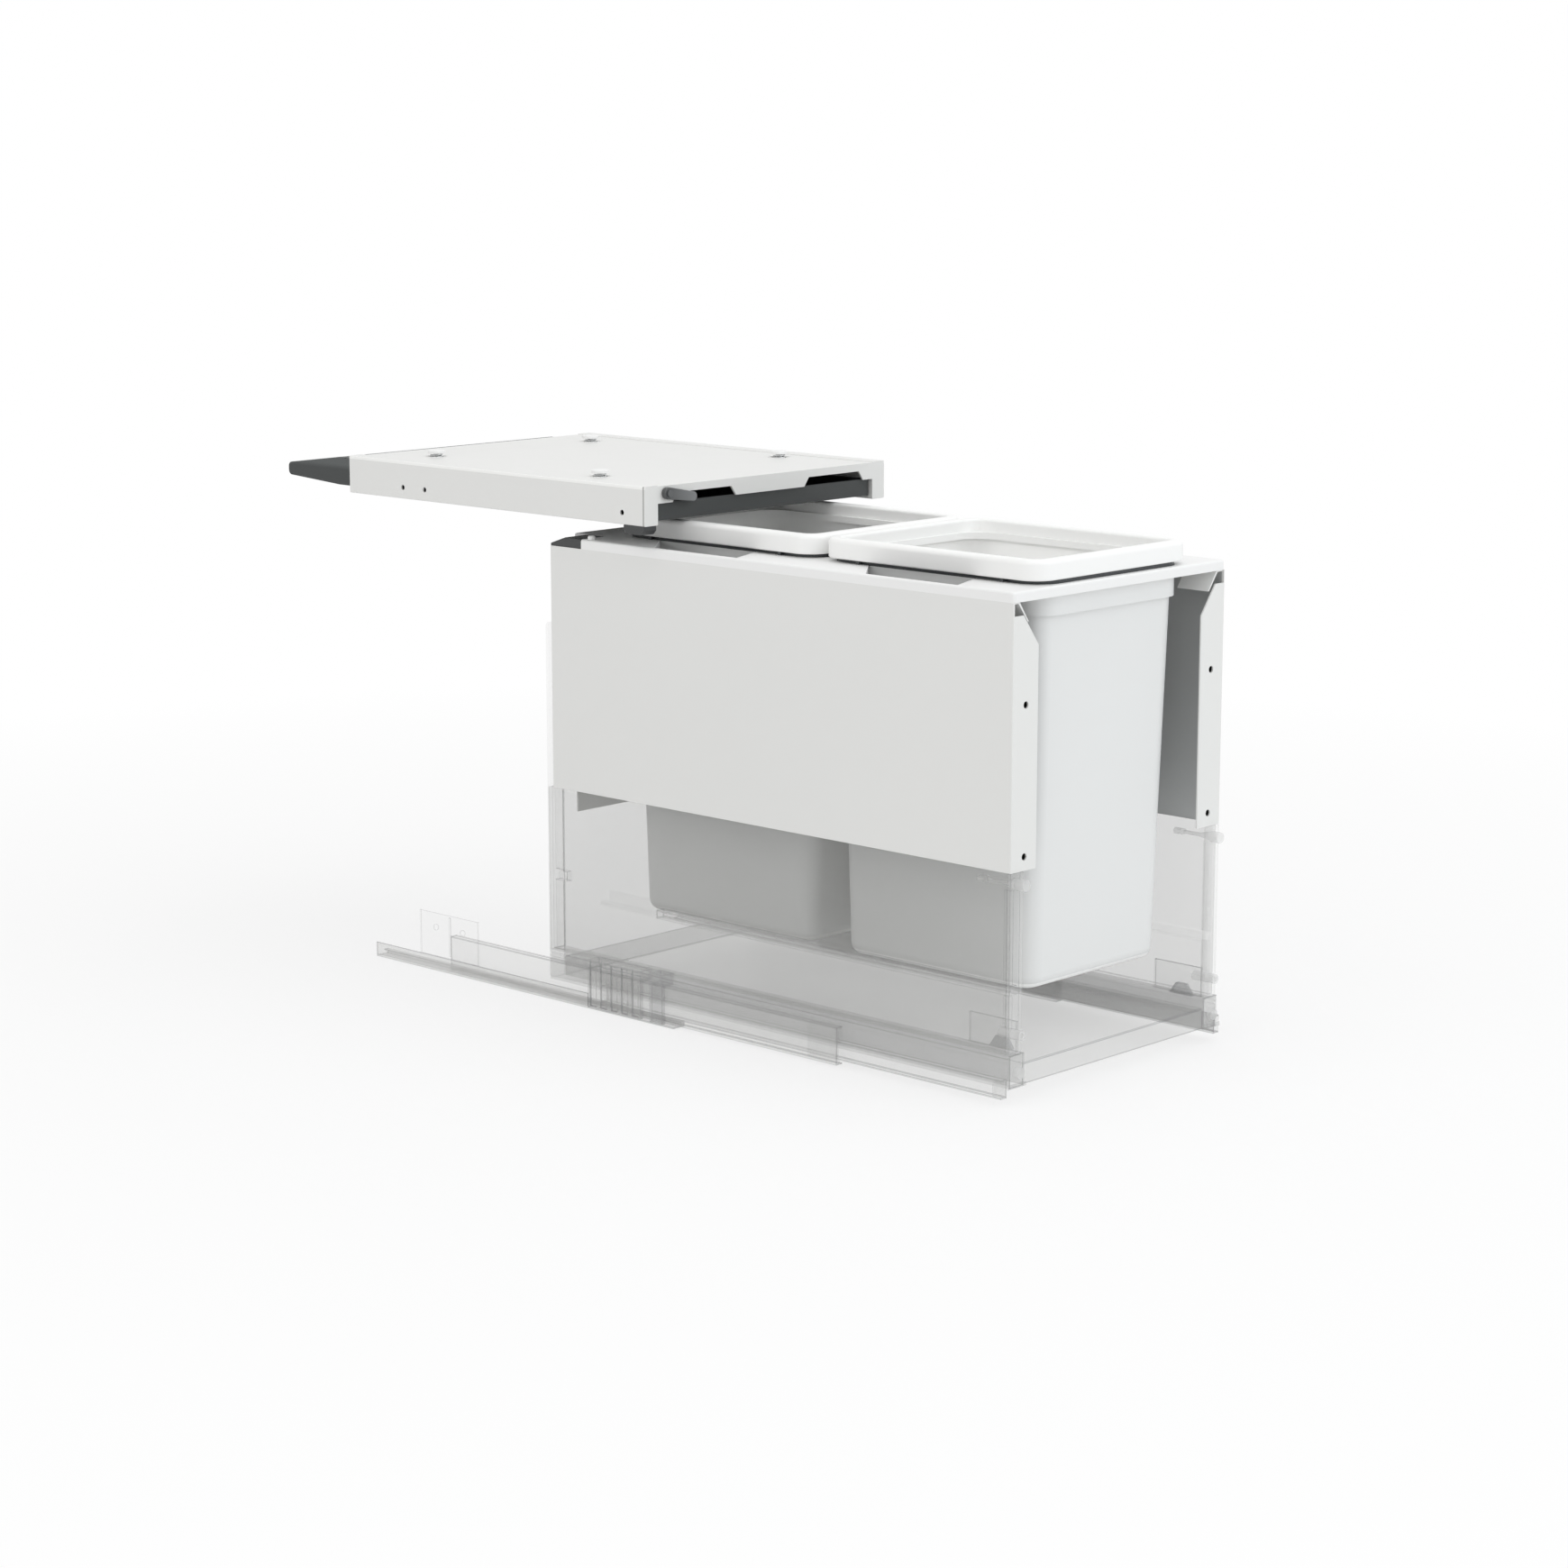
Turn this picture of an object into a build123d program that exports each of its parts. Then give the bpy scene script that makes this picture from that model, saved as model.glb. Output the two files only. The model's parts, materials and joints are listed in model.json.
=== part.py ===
from build123d import *
import os

# A pull-out bin frame: a tall narrow drawer on telescopic rails, a white frame with two bins hanging in it,
# and a lid that is screwed between the cabinet's side walls.
# X runs across the cabinet, Y runs into it, and Z is up. The drawer's front is at low Y.
# The origin is the centre of the footprint, level with the underside of the rails.
# The drawer is as wide as the cabinet and its rails leave room for, and the frame as long as its bins need.

# Clearances and cuts
OVERRUN = 1.0
SLIDING_GAP = 0.4
SEAT_GAP = 0.3
PIN_GAP = 0.06
PICK_MARGIN = 0.05

# Cabinet opening and the places along the depth, measured back from the drawer's front edge
CABINET_WIDTH = 268.0
PEG_REACH = 8.0
RAIL_FRONT = 320.0
LID_FRONT = 347.0

# Frame that carries the bins
FRAME_REAR_MARGIN = 37.0
FRAME_FLOOR = 167.0
PANEL_HEIGHT = 190.0
PANEL_SHEET = 1.2
PANEL_BEND_RADIUS = 0.8
FLANGE_WIDTH = 27.5
FLANGE_DROP = 9.5
FLANGE_CHAMFER_WIDTH = 16.5
FLANGE_CHAMFER_HEIGHT = 22.0
FLANGE_HOLE_RADIUS = 2.6
FLANGE_HOLE_INSET = 14.5
FLANGE_HOLE_LOW = 10.0
FLANGE_HOLE_PITCH = 107.6
PANEL_SHELF_WIDTH = 16.0
PANEL_SHELF_END_GAP = 30.0
CROSS_WALL_OVERHANG = 22.7
CROSS_WALL_INSET = 24.0

# Top plate of the frame
PLATE_THICKNESS = 7.5
PLATE_CORNER_RADIUS = 3.0
PLATE_EDGE_RADIUS = 1.8
PLATE_SIDE_WALL = 2.6
NOTCH_START = 53.0
NOTCH_OUTER_LENGTH = 86.0
NOTCH_INNER_LENGTH = 102.0
NOTCH_SKEW = 14.0
NUB_RADIUS = 3.0
NUB_HEIGHT = 3.0
RAMP_LENGTH = 34.0
RAMP_WIDTH = 26.0
RAMP_TOE = 2.0
RAMP_FLAT = 18.0
GUSSET_HEIGHT = 14.5
GUSSET_TOP_INSET = 7.0
GUSSET_FOOT_INSET = 17.0
PLATE_SCREWS_PER_SIDE = 3
SCREW_SHANK_RADIUS = 1.6
SCREW_HEAD_RADIUS = 3.4
SCREW_HEAD_HEIGHT = 2.0
SCREW_DEPTH = 5.0
SCREW_DRIVE_WIDTH = 2.4
SCREW_DRIVE_DEPTH = 1.0

# Bins
BIN_COUNT = 2
BIN_SIDE_MARGIN = 33.0
BIN_DEPTH = 208.0
BIN_FRONT_SETBACK = 5.0
BIN_GAP = 6.0
BIN_WALL = 2.2
BIN_FLOOR = 2.6
BIN_FOOT_HEIGHT = 70.2
RIM_HEIGHT = 14.7
RIM_LIP_X = 10.0
RIM_LIP_Y = 10.0
RIM_CORNER_RADIUS = 18.0
RIM_CREST_RADIUS = 3.6
RIM_INNER_RADIUS = 2.0
RIM_FOOT_RADIUS = 1.2
RIM_SHADOW_GAP = 2.8
RIM_CHANNEL_WIDTH = 3.4
RIM_SKIRT = 2.4
LEDGE_DROP = 9.3
LEDGE_HEIGHT = 5.0
LEDGE_INSET_X = 12.5
LEDGE_INSET_Y = 11.5
LEDGE_CORNER_RADIUS = 21.0
COLLAR_INSET_X = 6.0
COLLAR_INSET_Y = 2.0
COLLAR_CORNER_RADIUS = 20.0
COLLAR_DROP = 15.0
COLLAR_GAP = 0.5
SEAT_RIB_THICKNESS = 3.0
SEAT_RIB_REACH = 3.5
SEAT_RIB_INSET = 36.0
BODY_TOP_INSET_X = 8.6
BODY_TOP_INSET_Y = 6.6
BODY_FOOT_INSET_X = 12.0
BODY_FOOT_INSET_Y = 15.0
BODY_CORNER_RADIUS = 15.0
BODY_FOOT_RADIUS = 9.0

# Drawer below the frame
BASE_FLOOR = 12.0
BASE_THICKNESS = 16.0
BASE_CHAMFER = 0.8
SIDE_PROFILE_WIDTH = 16.0
SIDE_PROFILE_HEIGHT = 24.0
SIDE_PROFILE_WALL = 1.5
SIDE_RIB_COUNT = 2
SIDE_RIB_HEIGHT = 1.6
SIDE_RIB_DEPTH = 0.8
GLASS_THICKNESS = 4.0
FRONT_STRIP_WIDTH = 14.0
FRONT_STRIP_THICKNESS = 3.0
FRONT_STRIP_LIP = 9.0
GALLERY_HEIGHT = 7.0
GALLERY_WIDTH = 8.0
GALLERY_WALL = 1.2
GALLERY_FLOOR = 78.0
GALLERY_LENGTH = 352.0
GALLERY_NOSE = 4.0
BACK_ROOM = 6.0
BACK_THICKNESS = 3.0
BACK_TOP = 296.0
BACK_MARGIN = 2.0
BACK_HOLDER_DEPTH = 12.0
BACK_HOLDER_SHEET = 1.5
HOLDER_CLIP_HEIGHT = 8.0
HOLDER_CLIP_LENGTH = 16.0
HOLDER_CLIP_THICKNESS = 5.0
HOLDER_CLIP_FLOOR = 92.0
FIXING_PLATE_LENGTH = 44.0
FIXING_PLATE_HEIGHT = 22.5
FIXING_PLATE_THICKNESS = 2.0
FIXING_BLOCK_LENGTH = 21.0
FIXING_BLOCK_HEIGHT = 8.5
FIXING_BLOCK_THICKNESS = 4.0
FIXING_BLOCK_SLANT = 6.0
FRONT_PEG_RADIUS = 3.7
FRONT_PEG_LENGTH = 20.0
FRONT_PEG_REACH = 6.0
FRONT_PEG_RISE = 14.2
FRONT_PEG_FOOT_LENGTH = 8.0
FRONT_PEG_SOCKET_RADIUS = 2.0
FRONT_PEG_SOCKET_DEPTH = 2.5
LOW_PEG_RADIUS = 4.2
LOW_PEG_LENGTH = 4.0
LOW_PEG_RISE = 10.8
TOP_PEG_RADIUS = 1.5
TOP_PEG_HEAD_RADIUS = 4.2
TOP_PEG_HEAD_LENGTH = 7.0
TOP_PEG_TAPER_LENGTH = 12.5
TOP_PEG_TAIL_RADIUS = 2.5
TOP_PEG_TAIL_LENGTH = 7.5
TOP_PEG_LENGTH = 42.6
TOP_PEG_DROP = 8.5
END_CAP_THICKNESS = 1.5
BLADE_THICKNESS = 1.0
BLADE_WIDTH = 20.0
BLADE_REACH = 3.0
BLADE_HEIGHT = 3.0

# Telescopic rails, one set per side, between the drawer and the cabinet wall
RAIL_SHEET = 1.2
RAIL_SIDE_GAP = 0.6
CABINET_RAIL_LENGTH = 346.0
CABINET_RAIL_HEIGHT = 12.0
CABINET_RAIL_WIDTH = 12.4
CABINET_LIP_HEIGHT = 4.6
CABINET_LIP_RETURN = 4.4
MIDDLE_RAIL_FRONT = 155.0
MIDDLE_RAIL_LENGTH = 423.0
MIDDLE_RAIL_HEIGHT = 28.7
MIDDLE_RAIL_LIFT = 0.6
MIDDLE_RAIL_WIDTH = 6.6
MIDDLE_RAIL_OFFSET = 3.4
DRAWER_RAIL_LENGTH = 404.0
DRAWER_RAIL_NOSE = 1.0
DRAWER_RAIL_HEIGHT = 13.8
DRAWER_RAIL_LIFT = 0.6
DRAWER_RAIL_WIDTH = 6.6
SHOE_LENGTH = 30.0
SHOE_WEB = 1.5
RAIL_CAP_LENGTH = 8.0
GUIDE_LENGTH = 58.0
GUIDE_GAP = 10.0
GUIDE_PLATE = 3.0
GUIDE_HEIGHT = 39.0
GUIDE_RIBS = 5
GUIDE_RIB_GAP_SHARE = 0.55
GUIDE_RIB_DEPTH = 1.2
STOP_SETBACK = 12.0
STOP_LENGTH = 14.0
STOP_HEIGHT = 40.0
BRACKET_START = 221.0
BRACKET_LENGTH = 70.0
BRACKET_HEIGHT = 36.0
BRACKET_SHEET = 1.5
BRACKET_HOLE_PITCH = 32.0
BRACKET_HOLE_RADIUS = 2.25
BRACKET_HOLE_RISE = 24.0
BRACKET_BEAD_WIDTH = 2.0
BRACKET_BEAD_DEPTH = 0.5

# Lid between the cabinet walls
LID_LENGTH = 339.5
BEAM_WIDTH = 14.0
BEAM_HEIGHT = 30.0
BEAM_WALL = 1.5
BEAM_EDGE_RADIUS = 1.0
BEAM_HOLE_RADIUS = 2.1
BEAM_HOLE_RISE = 9.0
BEAM_HOLE_START = 24.4
BEAM_HOLE_PITCH = 224.0
BEAM_EXTRA_HOLE_STEP = 26.0
COVER_SHEET = 1.7
COVER_DROP = 0.8
LIP_HEIGHT = 13.0
LIP_CUTOUT_HEIGHT = 7.2
LIP_CUTOUT_WIDTH = 70.0
LIP_CUTOUT_SLANT = 6.0
LIP_CUTOUT_LEFT_INSET = 15.0
LIP_CUTOUT_RIGHT_INSET = 10.0
GUIDE_PAD_LENGTH = 22.0
GUIDE_PAD_WALL_GAP = 1.0
GUIDE_PAD_SETBACK = 2.0
GUIDE_PAD_WIDTH = 13.4
GUIDE_PAD_HEIGHT = 7.0
GUIDE_PAD_CHAMFER = 3.0

# Dark inner lid that lowers onto the bins
INNER_LID_SETBACK = 3.0
TAIL_REACH = 96.5
INNER_LID_SIDE_GAP = 1.5
INNER_LID_FLOOR = 3.0
INNER_LID_WALL = 3.0
INNER_LID_FRONT_HEIGHT = 13.4
INNER_LID_LOW_GAP = 0.5
LID_DROP = 2.4
TAIL_HUMP_START = 97.0
TAIL_HUMP_RUN = 32.0
TAIL_HEIGHT = 22.6
TAIL_TIP_HEIGHT = 10.0
TAIL_TIP_RISE = 4.0
TAIL_TIP_ROUND_SHARE = 0.4
LID_GROOVE_COUNT = 3
LID_GROOVE_WIDTH = 2.0
LID_GROOVE_DEPTH = 0.8

# Pins that hang the inner lid from the cover, with their springs
HANGER_FRONT_SETBACK = 83.0
HANGER_REAR_MARGIN = 51.5
HANGER_FRONT_INSET = 20.0
HANGER_REAR_INSET = 34.0
HANGER_PIN_RADIUS = 2.5
HANGER_HEAD_RADIUS = 7.0
HANGER_HEAD_HEIGHT = 2.4
HANGER_HEAD_ROUND = 0.8
HANGER_BOSS_RADIUS = 5.5
HANGER_BOSS_HEIGHT = 6.0
CUP_DEPTH = 7.0
CUP_RADIUS = 6.0
CUP_WALL = 1.4
SPRING_RADIUS = 5.2
SPRING_WIRE = 1.4

# Lever at the mouth of the lid
LEVER_PIVOT_INSET = 8.0
LEVER_PIVOT_DROP = 5.5
LEVER_THICKNESS = 4.0
LEVER_ROOT_RADIUS = 4.6
LEVER_TIP_RADIUS = 3.6
LEVER_SPAN = 26.0
LEVER_DIP = 4.2
LEVER_PIN_RADIUS = 1.5
LEVER_PIN_HEAD_RADIUS = 2.6
LEVER_PIN_HEAD_LENGTH = 1.2

# Places that follow from the sizes
front_y = (PEG_REACH - LID_FRONT - LID_LENGTH - TAIL_REACH) / 2
wall_x = CABINET_WIDTH / 2
side_x = wall_x - CABINET_RAIL_WIDTH - RAIL_SIDE_GAP
bin_x = side_x - BIN_SIDE_MARGIN
bin_spacing = BIN_DEPTH + BIN_GAP
frame_length = BIN_FRONT_SETBACK + BIN_COUNT * bin_spacing - BIN_GAP + FRAME_REAR_MARGIN
plate_z = FRAME_FLOOR + PANEL_HEIGHT
plate_top = plate_z + PLATE_THICKNESS
rim_z = plate_top + RIM_SHADOW_GAP
rim_top = rim_z + RIM_HEIGHT
base_top = BASE_FLOOR + BASE_THICKNESS
profile_top = BASE_FLOOR + SIDE_PROFILE_HEIGHT
glass_top = FRAME_FLOOR - SEAT_GAP
profile_inner_x = side_x - SIDE_PROFILE_WIDTH
glass_inner_x = side_x - GLASS_THICKNESS
strip_inner_x = side_x - FRONT_STRIP_WIDTH
fixing_plate_x = strip_inner_x + FIXING_PLATE_THICKNESS
frame_back_y = front_y + frame_length
drawer_back_y = frame_back_y + BACK_ROOM
rail_front_y = front_y + RAIL_FRONT
stop_y = rail_front_y + STOP_SETBACK
guide_y = stop_y + STOP_LENGTH + GUIDE_GAP
guide_back_y = guide_y + GUIDE_LENGTH
lid_y = front_y + LID_FRONT
lid_back_y = lid_y + LID_LENGTH
beam_z = rim_top
beam_top = beam_z + BEAM_HEIGHT
cover_top = beam_top - COVER_DROP
cover_z = cover_top - COVER_SHEET
cover_x = wall_x - BEAM_WIDTH
inner_lid_z = rim_top + INNER_LID_LOW_GAP + LID_DROP
inner_lid_y = lid_y + INNER_LID_SETBACK
tail_y = lid_back_y + TAIL_REACH
inner_lid_x = cover_x - INNER_LID_SIDE_GAP
lip_z = cover_top - LIP_HEIGHT


def span(x0, x1, y0, y1, z0, z1):
    """A box between two corners."""
    size = Box(x1 - x0, y1 - y0, z1 - z0)
    return Pos((x0 + x1) / 2, (y0 + y1) / 2, (z0 + z1) / 2) * size


def rod_y(x, z, radius, y0, y1):
    """A round bar along Y."""
    return Pos(x, (y0 + y1) / 2, z) * Rot(90, 0, 0) * Cylinder(radius, y1 - y0)


def rod_x(y, z, radius, x0, x1):
    """A round bar along X."""
    return Pos((x0 + x1) / 2, y, z) * Rot(0, 90, 0) * Cylinder(radius, x1 - x0)


def rod_z(x, y, radius, z0, z1):
    """A round bar along Z."""
    return Pos(x, y, (z0 + z1) / 2) * Cylinder(radius, z1 - z0)


def along_y(points, y0, y1):
    """An outline of (x, z) points drawn out from y0 to y1."""
    plane = Plane(origin=(0, y0, 0), x_dir=(1, 0, 0), z_dir=(0, -1, 0))
    return extrude(plane * Polygon(*points, align=None), amount=y1 - y0, dir=(0, 1, 0))


def along_x(points, x0, x1):
    """An outline of (y, z) points drawn out from x0 to x1."""
    plane = Plane(origin=(x0, 0, 0), x_dir=(0, 1, 0), z_dir=(1, 0, 0))
    return extrude(plane * Polygon(*points, align=None), amount=x1 - x0, dir=(1, 0, 0))


def upright(points, z0, z1):
    """An outline of (x, y) points drawn up from z0 to z1."""
    return extrude(Plane.XY.offset(z0) * Polygon(*points, align=None), amount=z1 - z0, dir=(0, 0, 1))


def rounded_slab(centre_y, width, depth, radius, z0, z1):
    """An upright slab with rounded corners, centred across the cabinet."""
    outline = Pos(0, centre_y, 0) * RectangleRounded(width, depth, radius)
    return extrude(Plane.XY.offset(z0) * outline, amount=z1 - z0)


def both_sides(left):
    """A left-hand piece and its mirror image."""
    return {"left": left, "right": mirror(left, about=Plane.YZ)}


def pair(left):
    """A left-hand piece and its mirror image as one group."""
    return Compound(list(both_sides(left).values()))


def edges_at(shape, z):
    """The edges that lie level at one height."""
    return shape.edges().filter_by_position(Axis.Z, z - PICK_MARGIN, z + PICK_MARGIN)


def bin_y(index):
    """The centre of one bin along the depth, from the front."""
    return front_y + BIN_FRONT_SETBACK + BIN_DEPTH / 2 + index * bin_spacing


def bin_slab(index, inset_x, inset_y, radius, z0, z1):
    """An upright slab inside one bin's outline."""
    return rounded_slab(bin_y(index), 2 * (bin_x - inset_x), BIN_DEPTH - 2 * inset_y, radius, z0, z1)


def bin_rim(index):
    """The thick rounded rim of one bin."""
    shape = bin_slab(index, 0, 0, RIM_CORNER_RADIUS, rim_z, rim_top)
    shape = fillet(edges_at(shape, rim_z), RIM_FOOT_RADIUS)
    inner_radius = RIM_CORNER_RADIUS - RIM_LIP_X
    shape -= bin_slab(index, RIM_LIP_X, RIM_LIP_Y, inner_radius, rim_z - OVERRUN, rim_top + OVERRUN)
    crest = shape.faces().sort_by(Axis.Z)[-1]
    shape = fillet(crest.outer_wire().edges(), RIM_CREST_RADIUS)
    crest = shape.faces().sort_by(Axis.Z)[-1]
    return fillet(crest.inner_wires()[0].edges(), RIM_INNER_RADIUS)


def rim_channels(index):
    """The hollows under the two long sides of a rim."""
    length = BIN_DEPTH - 2 * RIM_CORNER_RADIUS
    outer = bin_x - RIM_SKIRT
    left = span(-outer, RIM_CHANNEL_WIDTH - outer, bin_y(index) - length / 2, bin_y(index) + length / 2,
                rim_z - OVERRUN, rim_top - RIM_CREST_RADIUS)
    return pair(left)


def seat_ribs(index):
    """The ribs under a rim that stand on the top plate."""
    collar = bin_x - COLLAR_INSET_X
    ribs = []
    for end in (-1, 1):
        rib_y = bin_y(index) + end * (BIN_DEPTH / 2 - SEAT_RIB_INSET)
        left = span(-collar - SEAT_RIB_REACH, -collar, rib_y - SEAT_RIB_THICKNESS / 2,
                    rib_y + SEAT_RIB_THICKNESS / 2, plate_top, rim_top - RIM_CREST_RADIUS)
        ribs += both_sides(left).values()
    return ribs


def bin_body(index, wall, z0, z1, foot_radius):
    """The tapered body of one bin, or its hollow, drawn in by a wall."""
    collar_z = plate_z - COLLAR_DROP
    sections = []
    for z in (z0, z1):
        rise = (z - BIN_FOOT_HEIGHT) / (collar_z - BIN_FOOT_HEIGHT)
        inset_x = BODY_FOOT_INSET_X + (BODY_TOP_INSET_X - BODY_FOOT_INSET_X) * rise + wall
        inset_y = BODY_FOOT_INSET_Y + (BODY_TOP_INSET_Y - BODY_FOOT_INSET_Y) * rise + wall
        outline = RectangleRounded(2 * (bin_x - inset_x), BIN_DEPTH - 2 * inset_y,
                                   BODY_CORNER_RADIUS - wall)
        sections.append(Plane.XY.offset(z) * Pos(0, bin_y(index), 0) * outline)
    body = loft(sections, ruled=True)
    return fillet(edges_at(body, z0), foot_radius)


def waste_bin(index):
    """One bin: rim, collar that drops through the plate, and tapered body."""
    collar_z = plate_z - COLLAR_DROP
    ledge_top = rim_top - LEDGE_DROP
    ledge_z = ledge_top - LEDGE_HEIGHT
    collar = bin_slab(index, COLLAR_INSET_X, COLLAR_INSET_Y, COLLAR_CORNER_RADIUS, collar_z, ledge_top)
    shape = bin_rim(index) - rim_channels(index) + collar
    shape += seat_ribs(index)
    shape += bin_body(index, 0, BIN_FOOT_HEIGHT, collar_z, BODY_FOOT_RADIUS)
    shape -= bin_slab(index, LEDGE_INSET_X, LEDGE_INSET_Y, LEDGE_CORNER_RADIUS, ledge_z,
                      ledge_top + OVERRUN)
    shape -= bin_slab(index, COLLAR_INSET_X + BIN_WALL, COLLAR_INSET_Y + BIN_WALL,
                      COLLAR_CORNER_RADIUS - BIN_WALL, collar_z + BIN_WALL, ledge_z)
    return shape - bin_body(index, BIN_WALL, BIN_FOOT_HEIGHT + BIN_FLOOR, collar_z + BIN_WALL,
                            BODY_FOOT_RADIUS - BIN_WALL)


def plate_opening(index):
    """The hole in the top plate that one bin's collar drops through."""
    return bin_slab(index, COLLAR_INSET_X - COLLAR_GAP, COLLAR_INSET_Y - COLLAR_GAP,
                    COLLAR_CORNER_RADIUS + COLLAR_GAP, plate_z - OVERRUN, plate_top + OVERRUN)


def finger_notch(index):
    """The slanted slot beside a bin that lets fingers under its rim, cut through plate and shelf."""
    outer_x = PLATE_SIDE_WALL - side_x
    inner_x = COLLAR_INSET_X - bin_x
    start = front_y + index * bin_spacing + NOTCH_START
    points = [(outer_x, start), (inner_x, start + NOTCH_SKEW),
              (inner_x, start + NOTCH_SKEW + NOTCH_INNER_LENGTH), (outer_x, start + NOTCH_OUTER_LENGTH)]
    return upright(points, plate_z - PANEL_SHEET - OVERRUN, plate_top + OVERRUN)


def top_plate():
    """The plate across the frame, with its two bin openings and four finger notches."""
    centre = (front_y + frame_back_y) / 2
    shape = rounded_slab(centre, 2 * side_x, frame_length, PLATE_CORNER_RADIUS, plate_z, plate_top)
    shape = fillet(edges_at(shape, plate_top), PLATE_EDGE_RADIUS)
    for index in range(BIN_COUNT):
        shape -= plate_opening(index)
        shape -= pair(finger_notch(index))
    shape -= pair(ramp_room())
    shape += plate_nub()
    shape += mirror(plate_nub(), about=Plane.YZ)
    for x, y in plate_screw_places():
        shape -= rod_z(x, y, SCREW_SHANK_RADIUS + PIN_GAP, plate_z - OVERRUN,
                       plate_z + SCREW_DEPTH + SEAT_GAP)
    return shape


def plate_nub():
    """A small stop on the plate in front of a corner ramp."""
    nub_y = frame_back_y - RAMP_LENGTH - 2 * NUB_RADIUS
    nub_x = NUB_RADIUS + PLATE_SIDE_WALL - side_x
    nub = rod_z(nub_x, nub_y, NUB_RADIUS, plate_top, plate_top + NUB_HEIGHT)
    return fillet(edges_at(nub, plate_top + NUB_HEIGHT), NUB_RADIUS / 2)


def ramp_room():
    """The corner of the plate that makes room for a ramp."""
    return span(-side_x - OVERRUN, RAMP_WIDTH - side_x, frame_back_y - RAMP_LENGTH, frame_back_y + OVERRUN,
                plate_z - OVERRUN, plate_top + OVERRUN)


def corner_ramp():
    """The dark ramp at a rear corner of the plate, lower towards the back."""
    start = frame_back_y - RAMP_LENGTH
    points = [(start + SEAT_GAP, plate_z), (frame_back_y, plate_z), (frame_back_y, plate_z + RAMP_TOE),
              (start + RAMP_FLAT, plate_top), (start + SEAT_GAP, plate_top)]
    return along_x(points, -side_x, RAMP_WIDTH - side_x - SEAT_GAP)


def gusset():
    """The folded angle below the plate at a front corner, whose lip slants inwards."""
    inner_x = PANEL_SHEET - side_x
    top_x = GUSSET_TOP_INSET - side_x
    foot_x = GUSSET_FOOT_INSET - side_x
    leaf_z = plate_z - PANEL_SHEET
    foot_z = plate_z - GUSSET_HEIGHT
    points = [(inner_x, plate_z), (top_x + PANEL_SHEET, plate_z), (foot_x + PANEL_SHEET, foot_z),
              (foot_x, foot_z), (top_x, leaf_z), (inner_x, leaf_z)]
    return along_y(points, front_y + PANEL_SHEET + SEAT_GAP, front_y + PANEL_SHELF_END_GAP - SEAT_GAP)


def corner_gussets():
    """The four angles, a front and a rear one on each side."""
    frame_middle = Plane.XZ.offset(-(front_y + frame_back_y) / 2)
    front = gusset()
    return Compound([*both_sides(front).values(), *both_sides(mirror(front, about=frame_middle)).values()])


def plate_screw_places():
    """Where the screws rise through the panels' shelves into the plate."""
    margin = PANEL_SHELF_END_GAP + 2 * SCREW_HEAD_RADIUS
    run = frame_length - 2 * margin
    first = front_y + margin
    places = []
    for step in range(PLATE_SCREWS_PER_SIDE):
        screw_y = first + run * step / (PLATE_SCREWS_PER_SIDE - 1)
        for side in (-1, 1):
            places.append((side * (side_x - PANEL_SHELF_WIDTH / 2), screw_y))
    return places


def plate_screws():
    """The screws that hold the plate on the side panels, heads below."""
    screws = []
    head_top = plate_z - PANEL_SHEET
    for x, y in plate_screw_places():
        screw = rod_z(x, y, SCREW_HEAD_RADIUS, head_top - SCREW_HEAD_HEIGHT, head_top)
        screw += rod_z(x, y, SCREW_SHANK_RADIUS, head_top, plate_z + SCREW_DEPTH)
        drive = Box(SCREW_DRIVE_WIDTH, SCREW_DRIVE_WIDTH, 2 * SCREW_DRIVE_DEPTH)
        screws.append(screw - Pos(x, y, head_top - SCREW_HEAD_HEIGHT) * drive)
    return Compound(screws)


def flange_hole_places():
    """The two fixing holes of a front flange, as heights."""
    low = FRAME_FLOOR + FLANGE_HOLE_LOW
    return (low, low + FLANGE_HOLE_PITCH)


def frame_panel():
    """The left side panel: one folded sheet with front, rear and top flanges."""
    inner = PANEL_SHEET - side_x
    web = span(-side_x, inner, front_y, frame_back_y, FRAME_FLOOR, plate_z)
    shelf = span(-side_x, PANEL_SHELF_WIDTH - side_x, front_y + PANEL_SHELF_END_GAP,
                 frame_back_y - PANEL_SHELF_END_GAP, plate_z - PANEL_SHEET, plate_z)
    flange_top = plate_z - FLANGE_DROP
    tip_x = FLANGE_WIDTH - side_x
    flange_points = [(-side_x, FRAME_FLOOR), (tip_x, FRAME_FLOOR),
                     (tip_x, flange_top - FLANGE_CHAMFER_HEIGHT),
                     (tip_x - FLANGE_CHAMFER_WIDTH, flange_top), (-side_x, flange_top)]
    front = along_y(flange_points, front_y, front_y + PANEL_SHEET)
    for hole_z in flange_hole_places():
        front -= rod_y(FLANGE_HOLE_INSET - side_x, hole_z, FLANGE_HOLE_RADIUS, front_y - OVERRUN,
                       front_y + PANEL_SHEET + OVERRUN)
    rear = along_y(flange_points, frame_back_y - PANEL_SHEET, frame_back_y)
    for index in range(BIN_COUNT):
        shelf -= finger_notch(index)
    shape = web + shelf + front + rear
    for x, y in plate_screw_places():
        shape -= rod_z(x, y, SCREW_SHANK_RADIUS + PIN_GAP, plate_z - PANEL_SHEET - OVERRUN,
                       plate_z + OVERRUN)
    corner = [edge for edge in shape.edges().filter_by(Axis.Z)
              if abs(edge.center().X + side_x) < PICK_MARGIN
              and abs(edge.center().Y - front_y) < PICK_MARGIN]
    return fillet(corner, PANEL_BEND_RADIUS)


def cross_wall():
    """The wall that joins the two rear flanges and hangs below them."""
    half = side_x - CROSS_WALL_INSET
    wall_y = frame_back_y - PANEL_SHEET
    return span(-half, half, wall_y - PANEL_SHEET, wall_y, FRAME_FLOOR - CROSS_WALL_OVERHANG, plate_z)


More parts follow.
